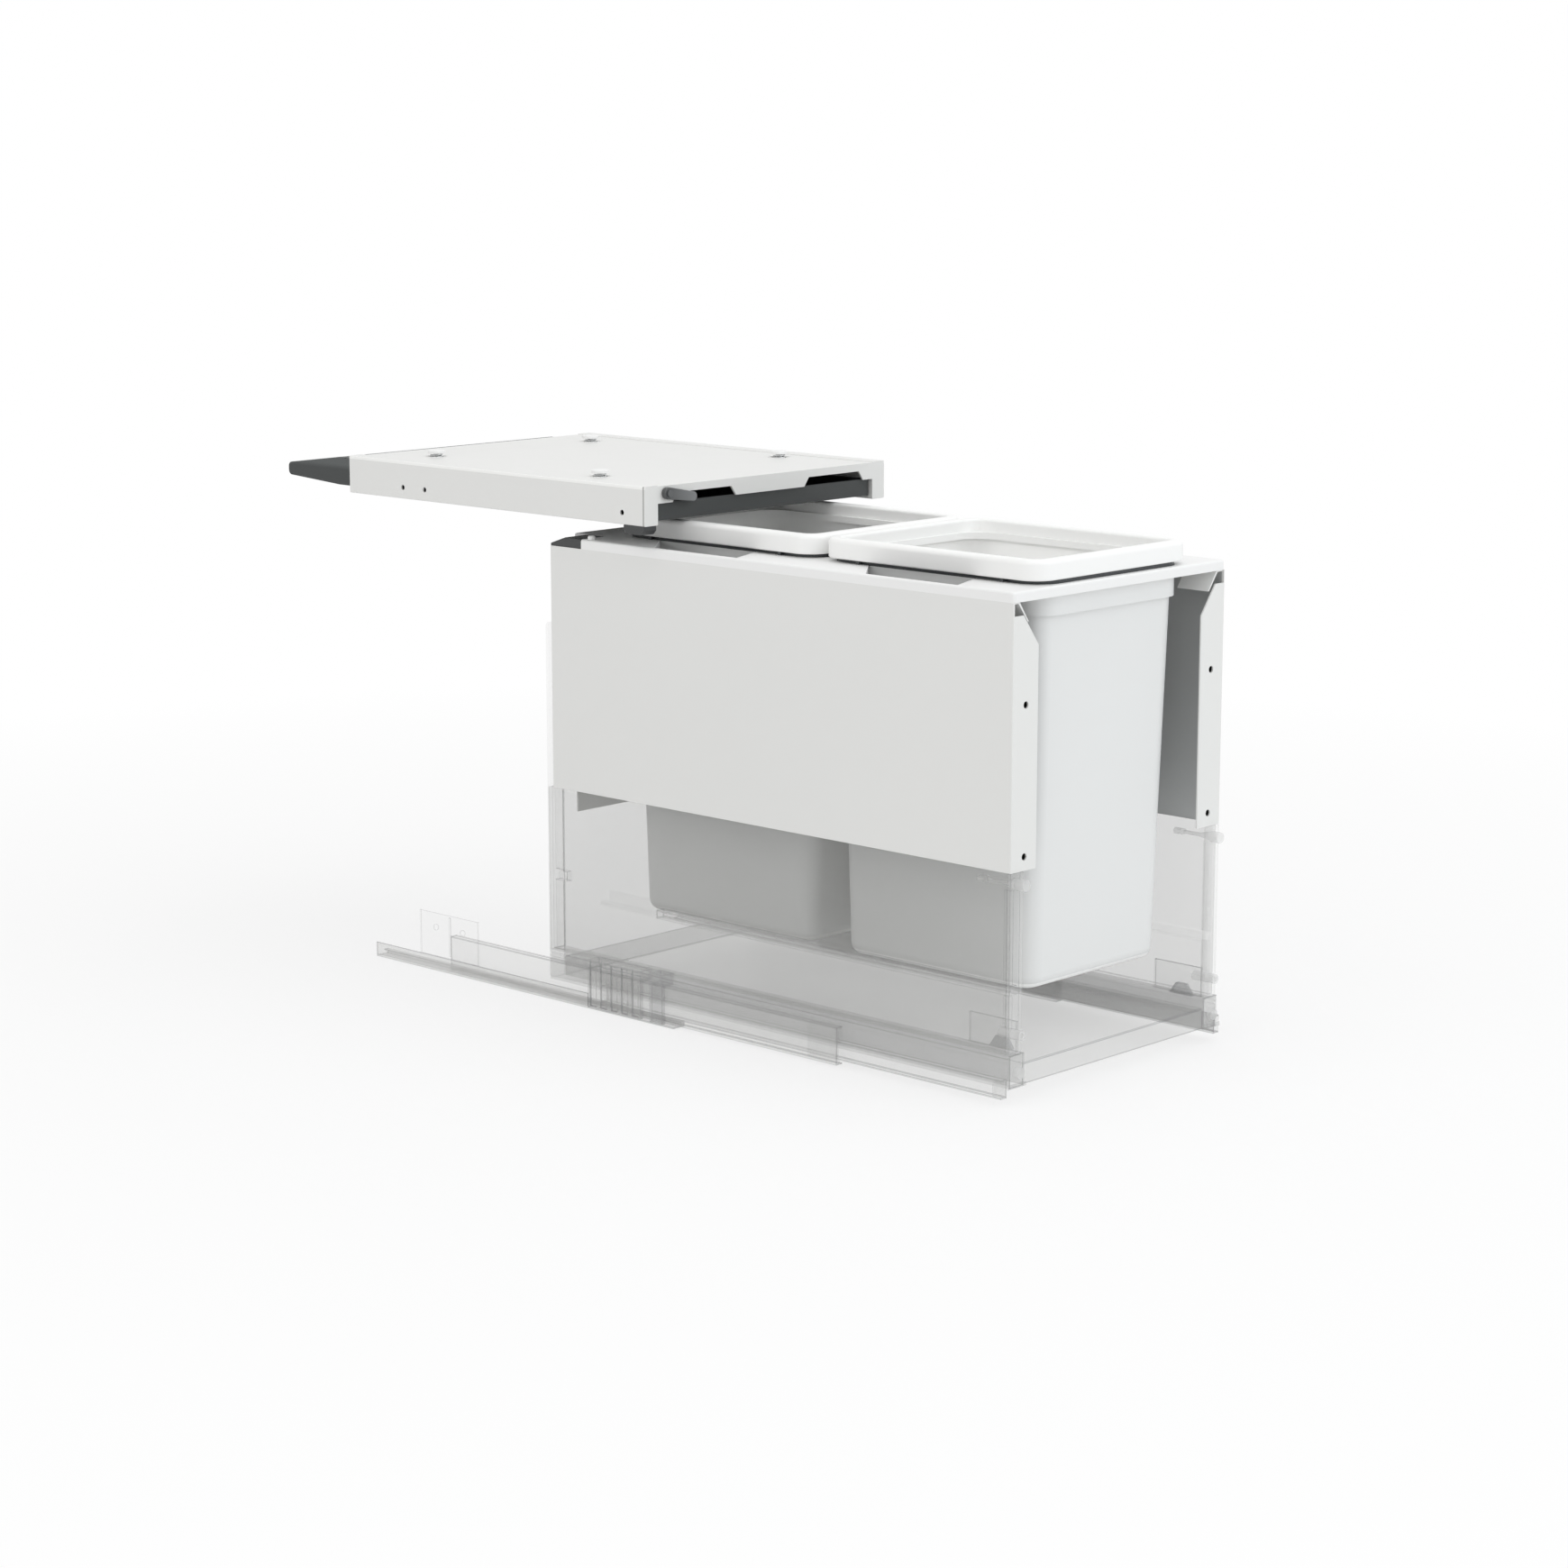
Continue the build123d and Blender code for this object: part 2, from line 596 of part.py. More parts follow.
def base_panel():
    """The board that the drawer stands on, between its side profiles."""
    board = span(-profile_inner_x, profile_inner_x, front_y, drawer_back_y, BASE_FLOOR, base_top)
    return chamfer(board.edges().filter_by(Axis.X), BASE_CHAMFER)


def back_panel():
    """The tall panel behind the frame."""
    half = side_x - BACK_MARGIN
    panel = span(-half, half, drawer_back_y, drawer_back_y + BACK_THICKNESS, BASE_FLOOR, BACK_TOP)
    return chamfer(panel.edges().filter_by(Axis.Y), BACK_MARGIN)


def side_profile():
    """The hollow profile along the foot of the drawer's left side, ribbed outside."""
    inner_x = -profile_inner_x
    shape = span(-side_x, inner_x, front_y, drawer_back_y, BASE_FLOOR, profile_top)
    shape -= span(SIDE_PROFILE_WALL - side_x, inner_x - SIDE_PROFILE_WALL, front_y - OVERRUN,
                  drawer_back_y + OVERRUN, BASE_FLOOR + SIDE_PROFILE_WALL, profile_top - SIDE_PROFILE_WALL)
    for rib in range(SIDE_RIB_COUNT):
        groove_z = profile_top - (rib + 1) * 2 * SIDE_RIB_HEIGHT
        shape -= span(-side_x - OVERRUN, SIDE_RIB_DEPTH - side_x, front_y - OVERRUN, drawer_back_y + OVERRUN,
                      groove_z - SIDE_RIB_HEIGHT / 2, groove_z + SIDE_RIB_HEIGHT / 2)
    return shape


def glass_side():
    """The glass between the side profile and the frame."""
    return span(-side_x, -glass_inner_x, front_y + FRONT_STRIP_THICKNESS, drawer_back_y, profile_top,
                glass_top)


def front_strip():
    """The upright strip that closes the front end of the glass."""
    back_y = front_y + FRONT_STRIP_THICKNESS
    face = span(-side_x, -strip_inner_x, front_y, back_y, profile_top, glass_top)
    lip = span(-glass_inner_x, FRONT_STRIP_THICKNESS - glass_inner_x, back_y, front_y + FRONT_STRIP_LIP,
               profile_top, glass_top)
    peg_z = top_peg_place()[1]
    for room_low, room_high in ((profile_top - OVERRUN, front_peg_place()[1] + FRONT_PEG_RADIUS + SEAT_GAP),
                                (peg_z - TOP_PEG_HEAD_RADIUS - SEAT_GAP, glass_top + OVERRUN),
                                (GALLERY_FLOOR - SEAT_GAP, GALLERY_FLOOR + GALLERY_HEIGHT + SEAT_GAP)):
        lip -= lip_room(room_low, room_high)
    return face + lip - top_peg_room() - front_peg_room()


def lip_room(low, high):
    """The room for a piece that crosses the front strip's lip between two heights."""
    return span(-glass_inner_x - OVERRUN, -strip_inner_x, front_y + FRONT_STRIP_THICKNESS,
                front_y + FRONT_STRIP_LIP + OVERRUN, low, high)


def gallery_rail():
    """The square tube along the inside of the glass."""
    start = front_y + FRONT_STRIP_THICKNESS
    tube = span(-glass_inner_x, GALLERY_WIDTH - glass_inner_x, start, start + GALLERY_LENGTH,
                GALLERY_FLOOR, GALLERY_FLOOR + GALLERY_HEIGHT)
    bore = span(GALLERY_WALL - glass_inner_x, GALLERY_WIDTH - GALLERY_WALL - glass_inner_x,
                start + GALLERY_NOSE, start + GALLERY_LENGTH + OVERRUN,
                GALLERY_FLOOR + GALLERY_WALL, GALLERY_FLOOR + GALLERY_HEIGHT - GALLERY_WALL)
    return tube - bore


def fixing_plate():
    """The upright plate on the side profile that holds the drawer's front."""
    start = front_y + FRONT_STRIP_THICKNESS
    return span(-fixing_plate_x, -strip_inner_x, start, start + FIXING_PLATE_LENGTH,
                profile_top, profile_top + FIXING_PLATE_HEIGHT)


def fixing_block():
    """The dark block with slanted ends on a fixing plate."""
    start = front_y + FRONT_STRIP_LIP
    end = start + FIXING_BLOCK_LENGTH
    top = profile_top + FIXING_BLOCK_HEIGHT
    points = [(start, profile_top), (end, profile_top), (end - FIXING_BLOCK_SLANT, top),
              (start + FIXING_BLOCK_SLANT, top)]
    return along_x(points, -strip_inner_x, FIXING_BLOCK_THICKNESS - strip_inner_x)


def front_peg_place():
    """The line of a high front peg, midway between glass and fixing plate, and its height."""
    return -(glass_inner_x + fixing_plate_x) / 2, profile_top + FRONT_PEG_RISE


def front_peg_room():
    """The hole for a high front peg through the front strip."""
    return rod_y(*front_peg_place(), FRONT_PEG_RADIUS + PIN_GAP, front_y - OVERRUN,
                 front_y + FRONT_STRIP_THICKNESS + OVERRUN)


def front_pegs():
    """The four pegs that the drawer's front panel hooks on, a high and a low one per side."""
    high_x, high_z = front_peg_place()
    tip = front_y - FRONT_PEG_REACH
    tail = tip + FRONT_PEG_LENGTH
    high = rod_y(high_x, high_z, FRONT_PEG_RADIUS, tip, tail)
    high += span(high_x, -fixing_plate_x, tail - FRONT_PEG_FOOT_LENGTH, tail,
                 high_z - FRONT_PEG_SOCKET_RADIUS, high_z + FRONT_PEG_SOCKET_RADIUS)
    high -= rod_y(high_x, high_z, FRONT_PEG_SOCKET_RADIUS, tip - OVERRUN, tip + FRONT_PEG_SOCKET_DEPTH)
    cap_y = front_y - END_CAP_THICKNESS
    low = rod_y(-(side_x + profile_inner_x) / 2, BASE_FLOOR + LOW_PEG_RISE, LOW_PEG_RADIUS,
                cap_y - LOW_PEG_LENGTH, cap_y)
    return Compound([*both_sides(high).values(), *both_sides(low).values()])


def top_peg_place():
    """The line of a top peg, as its distance across and its height."""
    return TOP_PEG_HEAD_RADIUS - glass_inner_x, glass_top - TOP_PEG_DROP


def top_peg_room():
    """The hole for a top peg through the front strip."""
    return rod_y(*top_peg_place(), TOP_PEG_HEAD_RADIUS + PIN_GAP, front_y - OVERRUN,
                 front_y + FRONT_STRIP_THICKNESS + OVERRUN)


def top_peg():
    """The tapered rod under the frame's front corner that steadies the drawer's front panel."""
    peg_x, peg_z = top_peg_place()
    tip = front_y - PEG_REACH
    tail = tip + TOP_PEG_LENGTH
    taper_y = tip + TOP_PEG_HEAD_LENGTH
    peg = rod_y(peg_x, peg_z, TOP_PEG_RADIUS, tip, tail)
    peg += rod_y(peg_x, peg_z, TOP_PEG_HEAD_RADIUS, tip, taper_y)
    peg += (Pos(peg_x, taper_y + TOP_PEG_TAPER_LENGTH / 2, peg_z) * Rot(90, 0, 0)
            * Cone(TOP_PEG_RADIUS, TOP_PEG_HEAD_RADIUS, TOP_PEG_TAPER_LENGTH))
    peg += rod_y(peg_x, peg_z, TOP_PEG_TAIL_RADIUS, tail - TOP_PEG_TAIL_LENGTH, tail)
    return peg + span(-glass_inner_x, peg_x, tail - TOP_PEG_TAIL_LENGTH, tail, peg_z - TOP_PEG_RADIUS,
                      peg_z + TOP_PEG_RADIUS)


def back_holder():
    """The folded upright that ties the glass and the back panel together, with its clip."""
    holder_y = drawer_back_y - BACK_HOLDER_DEPTH
    side = span(-glass_inner_x, BACK_HOLDER_SHEET - glass_inner_x, holder_y, drawer_back_y,
                profile_top, glass_top)
    back = span(-glass_inner_x, BACK_HOLDER_DEPTH - glass_inner_x, drawer_back_y - BACK_HOLDER_SHEET,
                drawer_back_y, profile_top, glass_top)
    clip = span(-glass_inner_x, HOLDER_CLIP_THICKNESS - glass_inner_x, drawer_back_y - HOLDER_CLIP_LENGTH,
                drawer_back_y, HOLDER_CLIP_FLOOR, HOLDER_CLIP_FLOOR + HOLDER_CLIP_HEIGHT)
    return side + back + clip


def end_cap():
    """The dark cap on the front end of a side profile."""
    return span(-side_x, -profile_inner_x, front_y - END_CAP_THICKNESS, front_y, BASE_FLOOR, profile_top)


def front_blade():
    """The thin dark blade in front of an end cap, under the drawer's front."""
    blade_y = front_y - END_CAP_THICKNESS
    outer_x = -side_x - BLADE_REACH
    return span(outer_x, outer_x + BLADE_WIDTH, blade_y - BLADE_THICKNESS, blade_y,
                BASE_FLOOR, BASE_FLOOR + BLADE_HEIGHT)


def rail_box(offset0, offset1, y0, y1, z0, z1):
    """A box placed by its distances in from the left cabinet wall."""
    return span(offset0 - wall_x, offset1 - wall_x, y0, y1, z0, z1)


def cabinet_rail():
    """The rail on the cabinet wall: a floor, a wall behind the guide, and a lip along its inner edge."""
    end = rail_front_y + CABINET_RAIL_LENGTH
    floor = rail_box(0, CABINET_RAIL_WIDTH, rail_front_y, end, 0, RAIL_SHEET)
    wall = rail_box(0, RAIL_SHEET, guide_back_y, end, 0, CABINET_RAIL_HEIGHT)
    lip_start = CABINET_RAIL_WIDTH - RAIL_SHEET
    lip = rail_box(lip_start, CABINET_RAIL_WIDTH, rail_front_y, end, 0, CABINET_LIP_HEIGHT)
    fold = rail_box(CABINET_RAIL_WIDTH - CABINET_LIP_RETURN, CABINET_RAIL_WIDTH, rail_front_y, end,
                    CABINET_LIP_HEIGHT - RAIL_SHEET, CABINET_LIP_HEIGHT)
    return floor + wall + lip + fold


def rail_bracket():
    """The upright plate behind the guide that is screwed to the cabinet wall."""
    start = rail_front_y + BRACKET_START
    top = CABINET_RAIL_HEIGHT + BRACKET_HEIGHT
    shape = rail_box(0, BRACKET_SHEET, start, start + BRACKET_LENGTH, CABINET_RAIL_HEIGHT, top)
    bead = start + BRACKET_LENGTH / 2
    shape -= rail_box(BRACKET_SHEET - BRACKET_BEAD_DEPTH, BRACKET_SHEET + OVERRUN,
                      bead - BRACKET_BEAD_WIDTH / 2, bead + BRACKET_BEAD_WIDTH / 2,
                      CABINET_RAIL_HEIGHT + BRACKET_BEAD_WIDTH, top - BRACKET_BEAD_WIDTH)
    for end in (-1, 1):
        hole_y = bead + end * BRACKET_HOLE_PITCH / 2
        shape -= rod_x(hole_y, CABINET_RAIL_HEIGHT + BRACKET_HOLE_RISE, BRACKET_HOLE_RADIUS,
                       -wall_x - OVERRUN, BRACKET_SHEET + OVERRUN - wall_x)
    return shape


def guide_shell(start, length, top):
    """A plate against the wall and an arm over the middle rail."""
    arm_z = RAIL_SHEET + MIDDLE_RAIL_LIFT + MIDDLE_RAIL_HEIGHT + SLIDING_GAP
    plate = rail_box(0, GUIDE_PLATE, start, start + length, RAIL_SHEET, top)
    return plate + rail_box(0, CABINET_RAIL_WIDTH, start, start + length, arm_z, top)


def guide_block():
    """The ribbed guide that the middle rail runs through."""
    shape = guide_shell(guide_y, GUIDE_LENGTH, GUIDE_HEIGHT)
    pitch = GUIDE_LENGTH / GUIDE_RIBS
    groove = pitch * GUIDE_RIB_GAP_SHARE
    for rib in range(GUIDE_RIBS):
        groove_y = guide_y + rib * pitch + pitch / 2
        shape -= rail_box(-OVERRUN, GUIDE_RIB_DEPTH, groove_y - groove / 2, groove_y + groove / 2,
                          RAIL_SHEET + GUIDE_RIB_DEPTH, GUIDE_HEIGHT - GUIDE_RIB_DEPTH)
    return shape


def rail_stop():
    """The black block near the front end of the cabinet rail."""
    return guide_shell(stop_y, STOP_LENGTH, STOP_HEIGHT)


def middle_rail():
    """The middle rail: a channel that opens towards the drawer."""
    start = front_y + MIDDLE_RAIL_FRONT
    end = start + MIDDLE_RAIL_LENGTH
    low = RAIL_SHEET + MIDDLE_RAIL_LIFT
    top = low + MIDDLE_RAIL_HEIGHT
    far = MIDDLE_RAIL_OFFSET + MIDDLE_RAIL_WIDTH
    web = rail_box(MIDDLE_RAIL_OFFSET, MIDDLE_RAIL_OFFSET + RAIL_SHEET, start, end, low, top)
    foot = rail_box(MIDDLE_RAIL_OFFSET, far, start, end, low, low + RAIL_SHEET)
    head = rail_box(MIDDLE_RAIL_OFFSET, far, start, end, top - RAIL_SHEET, top)
    return web + foot + head


def drawer_rail_z():
    """The underside of the drawer rail."""
    return CABINET_LIP_HEIGHT + DRAWER_RAIL_LIFT


def drawer_rail():
    """The drawer rail: a channel that opens towards the wall, fixed on the side profile."""
    start = front_y + DRAWER_RAIL_NOSE
    end = start + DRAWER_RAIL_LENGTH
    low = drawer_rail_z()
    top = low + DRAWER_RAIL_HEIGHT
    inner = wall_x - side_x
    web = rail_box(inner - RAIL_SHEET, inner, start, end, low, top)
    foot = rail_box(inner - DRAWER_RAIL_WIDTH, inner, start, end, low, low + RAIL_SHEET)
    head = rail_box(inner - DRAWER_RAIL_WIDTH, inner, start, end, top - RAIL_SHEET, top)
    return web + foot + head


def rail_cap():
    """The grey plug in the front end of a drawer rail."""
    start = front_y + DRAWER_RAIL_NOSE
    low = drawer_rail_z() + RAIL_SHEET
    inner = wall_x - side_x
    return rail_box(inner - DRAWER_RAIL_WIDTH, inner - RAIL_SHEET, start, start + RAIL_CAP_LENGTH,
                    low, low + DRAWER_RAIL_HEIGHT - 2 * RAIL_SHEET)


def middle_shoe():
    """The nylon shoe in the front end of the middle rail, round the drawer rail."""
    start = front_y + MIDDLE_RAIL_FRONT
    low = RAIL_SHEET + MIDDLE_RAIL_LIFT + RAIL_SHEET
    high = low + MIDDLE_RAIL_HEIGHT - 2 * RAIL_SHEET
    web = MIDDLE_RAIL_OFFSET + RAIL_SHEET
    block = rail_box(web, MIDDLE_RAIL_OFFSET + MIDDLE_RAIL_WIDTH, start, start + SHOE_LENGTH, low, high)
    drawer_rail_low = drawer_rail_z() - SEAT_GAP
    drawer_rail_top = drawer_rail_z() + DRAWER_RAIL_HEIGHT + SEAT_GAP
    block -= rail_box(web + SHOE_WEB, CABINET_RAIL_WIDTH, start - OVERRUN, start + SHOE_LENGTH + OVERRUN,
                      drawer_rail_low, drawer_rail_top)
    lip = CABINET_RAIL_WIDTH - CABINET_LIP_RETURN - SLIDING_GAP
    return block - rail_box(lip, CABINET_RAIL_WIDTH, start - OVERRUN, start + SHOE_LENGTH + OVERRUN,
                            low - OVERRUN, drawer_rail_top)


def drawer_shoe():
    """The nylon shoe at the rear end of the drawer rail, inside the middle rail."""
    end = front_y + DRAWER_RAIL_NOSE + DRAWER_RAIL_LENGTH
    start = end - SHOE_LENGTH
    low = RAIL_SHEET + MIDDLE_RAIL_LIFT + RAIL_SHEET + SEAT_GAP
    high = low + MIDDLE_RAIL_HEIGHT - 2 * RAIL_SHEET - 2 * SEAT_GAP
    web = MIDDLE_RAIL_OFFSET + RAIL_SHEET + SEAT_GAP
    lip = CABINET_RAIL_WIDTH - CABINET_LIP_RETURN - SEAT_GAP
    inner = wall_x - side_x - RAIL_SHEET
    foot = rail_box(web, lip, start, end, low, drawer_rail_z())
    upper = rail_box(web, inner, start, end, drawer_rail_z(), high)
    return foot + upper - drawer_rail()


def lid_beam():
    """The hollow beam along the cabinet wall that carries the lid, closed in front."""
    shape = span(-wall_x, -cover_x, lid_y, lid_back_y, beam_z, beam_top)
    shape = fillet(shape.edges().filter_by(Axis.Y), BEAM_EDGE_RADIUS)
    shape -= span(BEAM_WALL - wall_x, -cover_x - BEAM_WALL, lid_y + BEAM_WALL, lid_back_y + OVERRUN,
                  beam_z + BEAM_WALL, beam_top - BEAM_WALL)
    for hole_y in beam_hole_places():
        shape -= rod_x(hole_y, beam_z + BEAM_HOLE_RISE, BEAM_HOLE_RADIUS, -wall_x - OVERRUN,
                       BEAM_WALL + OVERRUN - wall_x)
    return shape


def beam_hole_places():
    """The fixing holes along a beam: the first, its partner on the pitch, and a spare behind."""
    first = lid_y + BEAM_HOLE_START
    second = first + BEAM_HOLE_PITCH
    return first, second, second + BEAM_EXTRA_HOLE_STEP


def lip_cutout(x):
    """A cutout with slanted ends in the cover's front lip, from its low left corner."""
    top = lip_z + LIP_CUTOUT_HEIGHT
    points = [(x, lip_z - OVERRUN), (x + LIP_CUTOUT_WIDTH, lip_z - OVERRUN),
              (x + LIP_CUTOUT_WIDTH - LIP_CUTOUT_SLANT, top), (x + LIP_CUTOUT_SLANT, top)]
    return along_y(points, lid_y - OVERRUN, lid_y + COVER_SHEET + OVERRUN)


def hanger_places():
    """Where the four hanger pins stand, as (x, y)."""
    front_pair_y = lid_y + HANGER_FRONT_SETBACK
    rear_pair_y = lid_back_y - HANGER_REAR_MARGIN
    front_x = cover_x - HANGER_FRONT_INSET
    rear_x = cover_x - HANGER_REAR_INSET
    return [(-front_x, front_pair_y), (front_x, front_pair_y), (-rear_x, rear_pair_y), (rear_x, rear_pair_y)]


def lid_cover():
    """The cover between the beams, with a folded front lip and four spring cups."""
    shape = span(-cover_x, cover_x, lid_y, lid_back_y, cover_z, cover_top)
    shape += span(-cover_x, cover_x, lid_y, lid_y + COVER_SHEET, lip_z, cover_top)
    for x in (LIP_CUTOUT_LEFT_INSET - cover_x, cover_x - LIP_CUTOUT_RIGHT_INSET - LIP_CUTOUT_WIDTH):
        shape -= lip_cutout(x)
    cup_z = cover_top - CUP_DEPTH
    for x, y in hanger_places():
        shape += rod_z(x, y, CUP_RADIUS + CUP_WALL, cup_z - CUP_WALL, cover_z)
        shape -= rod_z(x, y, CUP_RADIUS, cup_z, cover_top + OVERRUN)
        shape -= rod_z(x, y, HANGER_PIN_RADIUS + PIN_GAP, cup_z - CUP_WALL - OVERRUN, cup_z + OVERRUN)
    return shape


def guide_pad():
    """The dark pad under the left beam's front end, chamfered where the drawer runs in."""
    start = lid_y + GUIDE_PAD_SETBACK
    outer_x = GUIDE_PAD_WALL_GAP - wall_x
    pad = span(outer_x, outer_x + GUIDE_PAD_WIDTH, start, start + GUIDE_PAD_LENGTH,
               beam_z - GUIDE_PAD_HEIGHT, beam_z)
    return chamfer(edges_at(pad, beam_z - GUIDE_PAD_HEIGHT).filter_by(Axis.X), GUIDE_PAD_CHAMFER)


def hanger_pins():
    """The four headed pins that hang the inner lid from the cover."""
    pins = []
    head_z = cover_top + LID_DROP + SLIDING_GAP
    for x, y in hanger_places():
        head = rod_z(x, y, HANGER_HEAD_RADIUS, head_z, head_z + HANGER_HEAD_HEIGHT)
        head = fillet(edges_at(head, head_z + HANGER_HEAD_HEIGHT), HANGER_HEAD_ROUND)
        pins.append(head + rod_z(x, y, HANGER_PIN_RADIUS, inner_lid_z + INNER_LID_FLOOR, head_z))
    return Compound(pins)


def lid_springs():
    """The springs round the hanger pins, drawn as sleeves, between cup floors and heads."""
    springs = []
    for x, y in hanger_places():
        low = cover_top - CUP_DEPTH
        high = cover_top + LID_DROP + SLIDING_GAP
        sleeve = rod_z(x, y, SPRING_RADIUS, low, high)
        springs.append(sleeve - rod_z(x, y, SPRING_RADIUS - SPRING_WIRE, low - OVERRUN, high + OVERRUN))
    return Compound(springs)


def inner_lid():
    """The dark tray under the cover, with a humped tail that runs down to a thin tip."""
    floor = inner_lid_z
    hump = tail_y - TAIL_HUMP_START
    crest = hump + TAIL_HUMP_RUN
    wall_top = floor + INNER_LID_FRONT_HEIGHT
    tip_z = floor + TAIL_TIP_RISE
    points = [(inner_lid_y, floor), (crest, floor), (tail_y, tip_z), (tail_y, tip_z + TAIL_TIP_HEIGHT),
              (crest, floor + TAIL_HEIGHT), (hump, floor + TAIL_HEIGHT), (hump, wall_top),
              (inner_lid_y, wall_top)]
    shape = along_x(points, -inner_lid_x, inner_lid_x)
    tip = shape.edges().filter_by(Axis.X).sort_by(Axis.Y)[-2:]
    shape = fillet(tip, TAIL_TIP_HEIGHT * TAIL_TIP_ROUND_SHARE)
    tray_x = inner_lid_x - INNER_LID_WALL
    tray_z = floor + INNER_LID_FLOOR
    shape -= span(-tray_x, tray_x, inner_lid_y + INNER_LID_WALL, hump - INNER_LID_WALL, tray_z,
                  wall_top + OVERRUN)
    for x, y in hanger_places():
        shape += rod_z(x, y, HANGER_BOSS_RADIUS, tray_z, tray_z + HANGER_BOSS_HEIGHT)
        shape -= rod_z(x, y, HANGER_PIN_RADIUS + PIN_GAP, tray_z, tray_z + HANGER_BOSS_HEIGHT + OVERRUN)
    for groove in range(LID_GROOVE_COUNT):
        start = hump + (groove + 1) * TAIL_HUMP_RUN / (LID_GROOVE_COUNT + 1)
        shape -= span(-inner_lid_x - OVERRUN, inner_lid_x + OVERRUN, start - LID_GROOVE_WIDTH / 2,
                      start + LID_GROOVE_WIDTH / 2, floor + TAIL_HEIGHT - LID_GROOVE_DEPTH,
                      floor + TAIL_HEIGHT + OVERRUN)
    return shape


def lever_line():
    """The lever's pivot and its roller, each as (x, z)."""
    pivot_x = LEVER_PIVOT_INSET - cover_x
    pivot_z = cover_top - LEVER_PIVOT_DROP
    return (pivot_x, pivot_z), (pivot_x + LEVER_SPAN, pivot_z - LEVER_DIP)


def lever_pin():
    """The headed pin on the cover's lip that the lever swings on."""
    pivot, _ = lever_line()
    head_y = lid_y - 2 * SLIDING_GAP - LEVER_THICKNESS
    pin = rod_y(*pivot, LEVER_PIN_RADIUS, head_y, lid_y)
    return pin + rod_y(*pivot, LEVER_PIN_HEAD_RADIUS, head_y - LEVER_PIN_HEAD_LENGTH, head_y)


def lid_lever():
    """The lever in front of the lip, thick at its pivot and rounded at its tip."""
    pivot, tip = lever_line()
    back_y = lid_y - SLIDING_GAP
    reach = (LEVER_SPAN ** 2 + LEVER_DIP ** 2) ** (1 / 2)
    across = (LEVER_DIP / reach, LEVER_SPAN / reach)
    points = []
    for (x, z), radius in ((pivot, LEVER_ROOT_RADIUS), (tip, LEVER_TIP_RADIUS)):
        points.append((x + across[0] * radius, z + across[1] * radius))
    for (x, z), radius in ((tip, LEVER_TIP_RADIUS), (pivot, LEVER_ROOT_RADIUS)):
        points.append((x - across[0] * radius, z - across[1] * radius))
    shape = along_y(points, back_y - LEVER_THICKNESS, back_y)
    shape += rod_y(*pivot, LEVER_ROOT_RADIUS, back_y - LEVER_THICKNESS, back_y)
    shape += rod_y(*tip, LEVER_TIP_RADIUS, back_y - LEVER_THICKNESS, back_y)
    return shape - rod_y(*pivot, LEVER_PIN_RADIUS + PIN_GAP, back_y - LEVER_THICKNESS - OVERRUN,
                         back_y + OVERRUN)


def lever_roller():
    """The roller on the lever's tip, which reaches through the lip over the inner lid's front wall."""
    _, tip = lever_line()
    radius = tip[1] - inner_lid_z - INNER_LID_FRONT_HEIGHT - SLIDING_GAP
    return rod_y(*tip, radius, lid_y - SLIDING_GAP, inner_lid_y + INNER_LID_WALL)


handed = {
    "cabinet_rail": cabinet_rail(),
    "rail_bracket": rail_bracket(),
    "guide_block": guide_block(),
    "rail_stop": rail_stop(),
    "middle_rail": middle_rail(),
    "middle_shoe": middle_shoe(),
    "drawer_rail": drawer_rail(),
    "drawer_shoe": drawer_shoe(),
    "side_profile": side_profile(),
    "glass_side": glass_side(),
    "front_strip": front_strip(),
    "gallery_rail": gallery_rail(),
    "fixing_plate": fixing_plate(),
    "back_holder": back_holder(),
    "frame_panel": frame_panel(),
    "lid_beam": lid_beam(),
}

nodes = {
    "rail_caps": pair(rail_cap()),
    "end_caps": pair(end_cap()),
    "front_pegs": front_pegs(),
    "front_blades": pair(front_blade()),
    "top_pegs": pair(top_peg()),
    "fixing_blocks": pair(fixing_block()),
    "base_panel": base_panel(),
    "back_panel": back_panel(),
    "top_plate": top_plate(),
    "cross_wall": cross_wall(),
    "corner_gussets": corner_gussets(),
    "corner_ramps": pair(corner_ramp()),
    "plate_screws": plate_screws(),
    "front_bin": waste_bin(0),
    "rear_bin": waste_bin(1),
    "lid_cover": lid_cover(),
    "lid_guide_pad": guide_pad(),
    "lever_pin": lever_pin(),
    "lid_lever": lid_lever(),
    "lever_roller": lever_roller(),
    "inner_lid": inner_lid(),
    "hanger_pins": hanger_pins(),
    "lid_springs": lid_springs(),
}
for name, left in handed.items():
    for side, shape in both_sides(left).items():
        nodes[f"{side}_{name}"] = shape

os.makedirs("parts", exist_ok=True)
for name, shape in nodes.items():
    export_step(shape, f"parts/{name}.step")
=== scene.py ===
import json
import math

